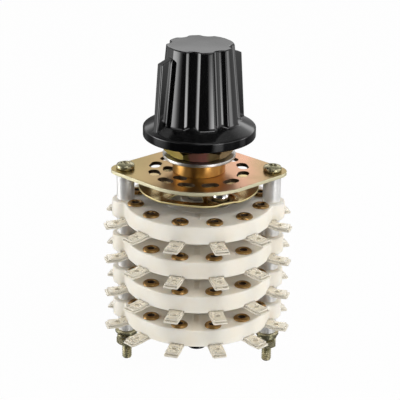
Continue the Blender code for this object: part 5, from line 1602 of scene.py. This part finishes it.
class SWITCH_OT_studio(bpy.types.Operator):
    """Makes the camera, the pale floor, the dome of light, the lamps and the world"""
    bl_idname = "switch.studio"
    bl_label = "Studio"

    def execute(self, context):
        scene = context.scene
        scene.view_settings.view_transform = 'Standard'
        self.camera(scene)
        self.floor(scene)
        self.surround(scene)
        area_lamp("fill_right", 80, 12, 0.60, 0.40, 0.40, 1.4)
        area_lamp("fill_left", -84, 10, 0.60, 0.40, 0.40, 1.1)
        area_lamp("fill_front", 12, 40, 0.60, 0.50, 0.30, 0.5)
        self.world(scene)
        return {'FINISHED'}

    def camera(self, scene):
        """Camera solved from the photograph: 409.8 mm away, 21.9 degrees up, rolled 0.735 degrees."""
        data = bpy.data.cameras.new("camera")
        camera = bpy.data.objects.new("camera", data)
        scene.collection.objects.link(camera)
        scene.camera = camera
        data.sensor_width = 36.0
        data.lens = 1394.6 / 400 * 36.0
        data.shift_x = 1.5 / 400
        elevation, azimuth, roll = math.radians(21.9), math.radians(0.67), math.radians(0.735)
        back = Vector((math.sin(azimuth) * math.cos(elevation), -math.cos(azimuth) * math.cos(elevation),
                       math.sin(elevation)))
        right = Vector((math.cos(azimuth), math.sin(azimuth), 0.0))
        up = back.cross(right)
        turned_right = right * math.cos(roll) + up * math.sin(roll)
        turned_up = up * math.cos(roll) - right * math.sin(roll)
        place = Vector((0.0, 0.0, -0.01394)) + back * 0.4098
        matrix = Matrix((turned_right, turned_up, back)).transposed().to_4x4()
        matrix.translation = place
        camera.matrix_world = matrix
        data.clip_start = 0.02
        data.clip_end = 20.0

    def floor(self, scene):
        """A round pale floor under the bolts: white but for a soft shadow, and itself a light from below."""
        radii = np.linspace(0.0, 1.0, 12) ** 1.5 * 700.0
        rows = ring_rows(np.column_stack([radii, np.full(12, CAD_BOX[0][2] * 1000 - 0.3)]), 96)
        mesh = bpy.data.meshes.new("floor")
        fill_mesh(mesh, [grid(rows)])
        floor = bpy.data.objects.new("floor", mesh)
        scene.collection.objects.link(floor)
        floor.visible_glossy = False
        material = bpy.data.materials.new("floor_paper")
        material.use_nodes = True
        tree = material.node_tree
        tree.nodes.clear()
        paper = tree.nodes.new("ShaderNodeBsdfDiffuse")
        paper.inputs["Color"].default_value = (0.9, 0.9, 0.9, 1.0)
        shine = tree.nodes.new("ShaderNodeEmission")
        shine.inputs["Strength"].default_value = 1.0
        mix = tree.nodes.new("ShaderNodeMixShader")
        path = tree.nodes.new("ShaderNodeLightPath")
        out = tree.nodes.new("ShaderNodeOutputMaterial")
        share = maths(tree, 'MULTIPLY', path.outputs["Is Camera Ray"], 0.97)
        share = maths(tree, 'MULTIPLY_ADD', path.outputs["Is Diffuse Ray"], 0.9, share)
        tree.links.new(share, mix.inputs[0])
        tree.links.new(paper.outputs[0], mix.inputs[1])
        tree.links.new(shine.outputs[0], mix.inputs[2])
        tree.links.new(mix.outputs[0], out.inputs["Surface"])
        mesh.materials.append(material)

    def surround(self, scene):
        """A dome that the camera doesn't see, with the light that studio_light gives for each direction."""
        azimuth = np.radians(np.linspace(-180, 180, 240, endpoint=False))[None, :]
        elevation = np.radians(np.linspace(90, -90, 91))[:, None]
        rows = 1500 * np.stack([np.cos(elevation) * np.sin(azimuth), -np.cos(elevation) * np.cos(azimuth),
                                np.sin(elevation) + 0 * azimuth], -1)
        mesh = bpy.data.meshes.new("surround")
        fill_mesh(mesh, [grid(rows)])
        place = np.empty(len(mesh.vertices) * 3)
        mesh.vertices.foreach_get("co", place)
        x, y, z = place.reshape(-1, 3).T
        light = studio_light(np.degrees(np.arctan2(x, -y)), np.degrees(np.arctan2(z, np.hypot(x, y))))
        mesh.attributes.new("light", 'FLOAT', 'POINT').data.foreach_set("value", light.astype(np.float32))
        dome = bpy.data.objects.new("surround", mesh)
        scene.collection.objects.link(dome)
        dome.visible_camera = False
        dome.visible_shadow = False
        dome.visible_transmission = False
        material = bpy.data.materials.new("surround_light")
        material.use_nodes = True
        tree = material.node_tree
        tree.nodes.clear()
        value = tree.nodes.new("ShaderNodeAttribute")
        value.attribute_name = "light"
        shine = tree.nodes.new("ShaderNodeEmission")
        tree.links.new(value.outputs["Fac"], shine.inputs["Strength"])
        out = tree.nodes.new("ShaderNodeOutputMaterial")
        tree.links.new(shine.outputs[0], out.inputs["Surface"])
        mesh.materials.append(material)

    def world(self, scene):
        """White for the camera and a little dimmer for all else."""
        world = bpy.data.worlds.new("studio")
        scene.world = world
        world.use_nodes = True
        tree = world.node_tree
        tree.nodes.clear()
        path = tree.nodes.new("ShaderNodeLightPath")
        seen = path.outputs["Is Camera Ray"], path.outputs["Is Transmission Ray"]
        strength = maths(tree, 'MULTIPLY_ADD', maths(tree, 'ADD', *seen, clamp=True), 0.22, 0.78)
        mirrored = maths(tree, 'MULTIPLY', path.outputs["Is Glossy Ray"], 0.80)
        strength = maths(tree, 'MAXIMUM', strength, mirrored)
        back = tree.nodes.new("ShaderNodeBackground")
        back.inputs["Color"].default_value = (1.0, 1.0, 1.0, 1.0)
        out = tree.nodes.new("ShaderNodeOutputWorld")
        tree.links.new(strength, back.inputs["Strength"])
        tree.links.new(back.outputs[0], out.inputs["Surface"])


class SWITCH_PT_panel(bpy.types.Panel):
    """Lists the operators that make the switch"""
    bl_idname = "SWITCH_PT_panel"
    bl_label = "Wafer rotary switch"
    bl_space_type = 'VIEW_3D'
    bl_region_type = 'UI'
    bl_category = "Switch"

    def draw(self, context):
        for operator in OPERATORS:
            self.layout.operator(operator.bl_idname)
        scene = context.scene
        for group in (scene.switch_knob, scene.switch_wafer, scene.switch_hardware, scene.switch_colours):
            for key in group.__annotations__:
                self.layout.prop(group, key)


OPERATORS = (SWITCH_OT_studio, SWITCH_OT_knob, SWITCH_OT_shaft, SWITCH_OT_bushing, SWITCH_OT_plate,
             SWITCH_OT_detent, SWITCH_OT_wafers, SWITCH_OT_contacts, SWITCH_OT_rotors, SWITCH_OT_tie_bolts,
             SWITCH_OT_tie_stack)
CLASSES = (KnobSizes, WaferSizes, HardwareSizes, FinishColours) + OPERATORS + (SWITCH_PT_panel,)


def register():
    for each in CLASSES:
        bpy.utils.register_class(each)
    bpy.types.Scene.switch_knob = PointerProperty(type=KnobSizes)
    bpy.types.Scene.switch_wafer = PointerProperty(type=WaferSizes)
    bpy.types.Scene.switch_hardware = PointerProperty(type=HardwareSizes)
    bpy.types.Scene.switch_colours = PointerProperty(type=FinishColours)


def unregister():
    del bpy.types.Scene.switch_colours
    del bpy.types.Scene.switch_hardware
    del bpy.types.Scene.switch_wafer
    del bpy.types.Scene.switch_knob
    for each in reversed(CLASSES):
        bpy.utils.unregister_class(each)


def main():
    """Makes every piece."""
    register()
    for operator in OPERATORS:
        group, action = operator.bl_idname.split(".")
        getattr(getattr(bpy.ops, group), action)()
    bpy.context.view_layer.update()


if __name__ == "__main__":
    main()
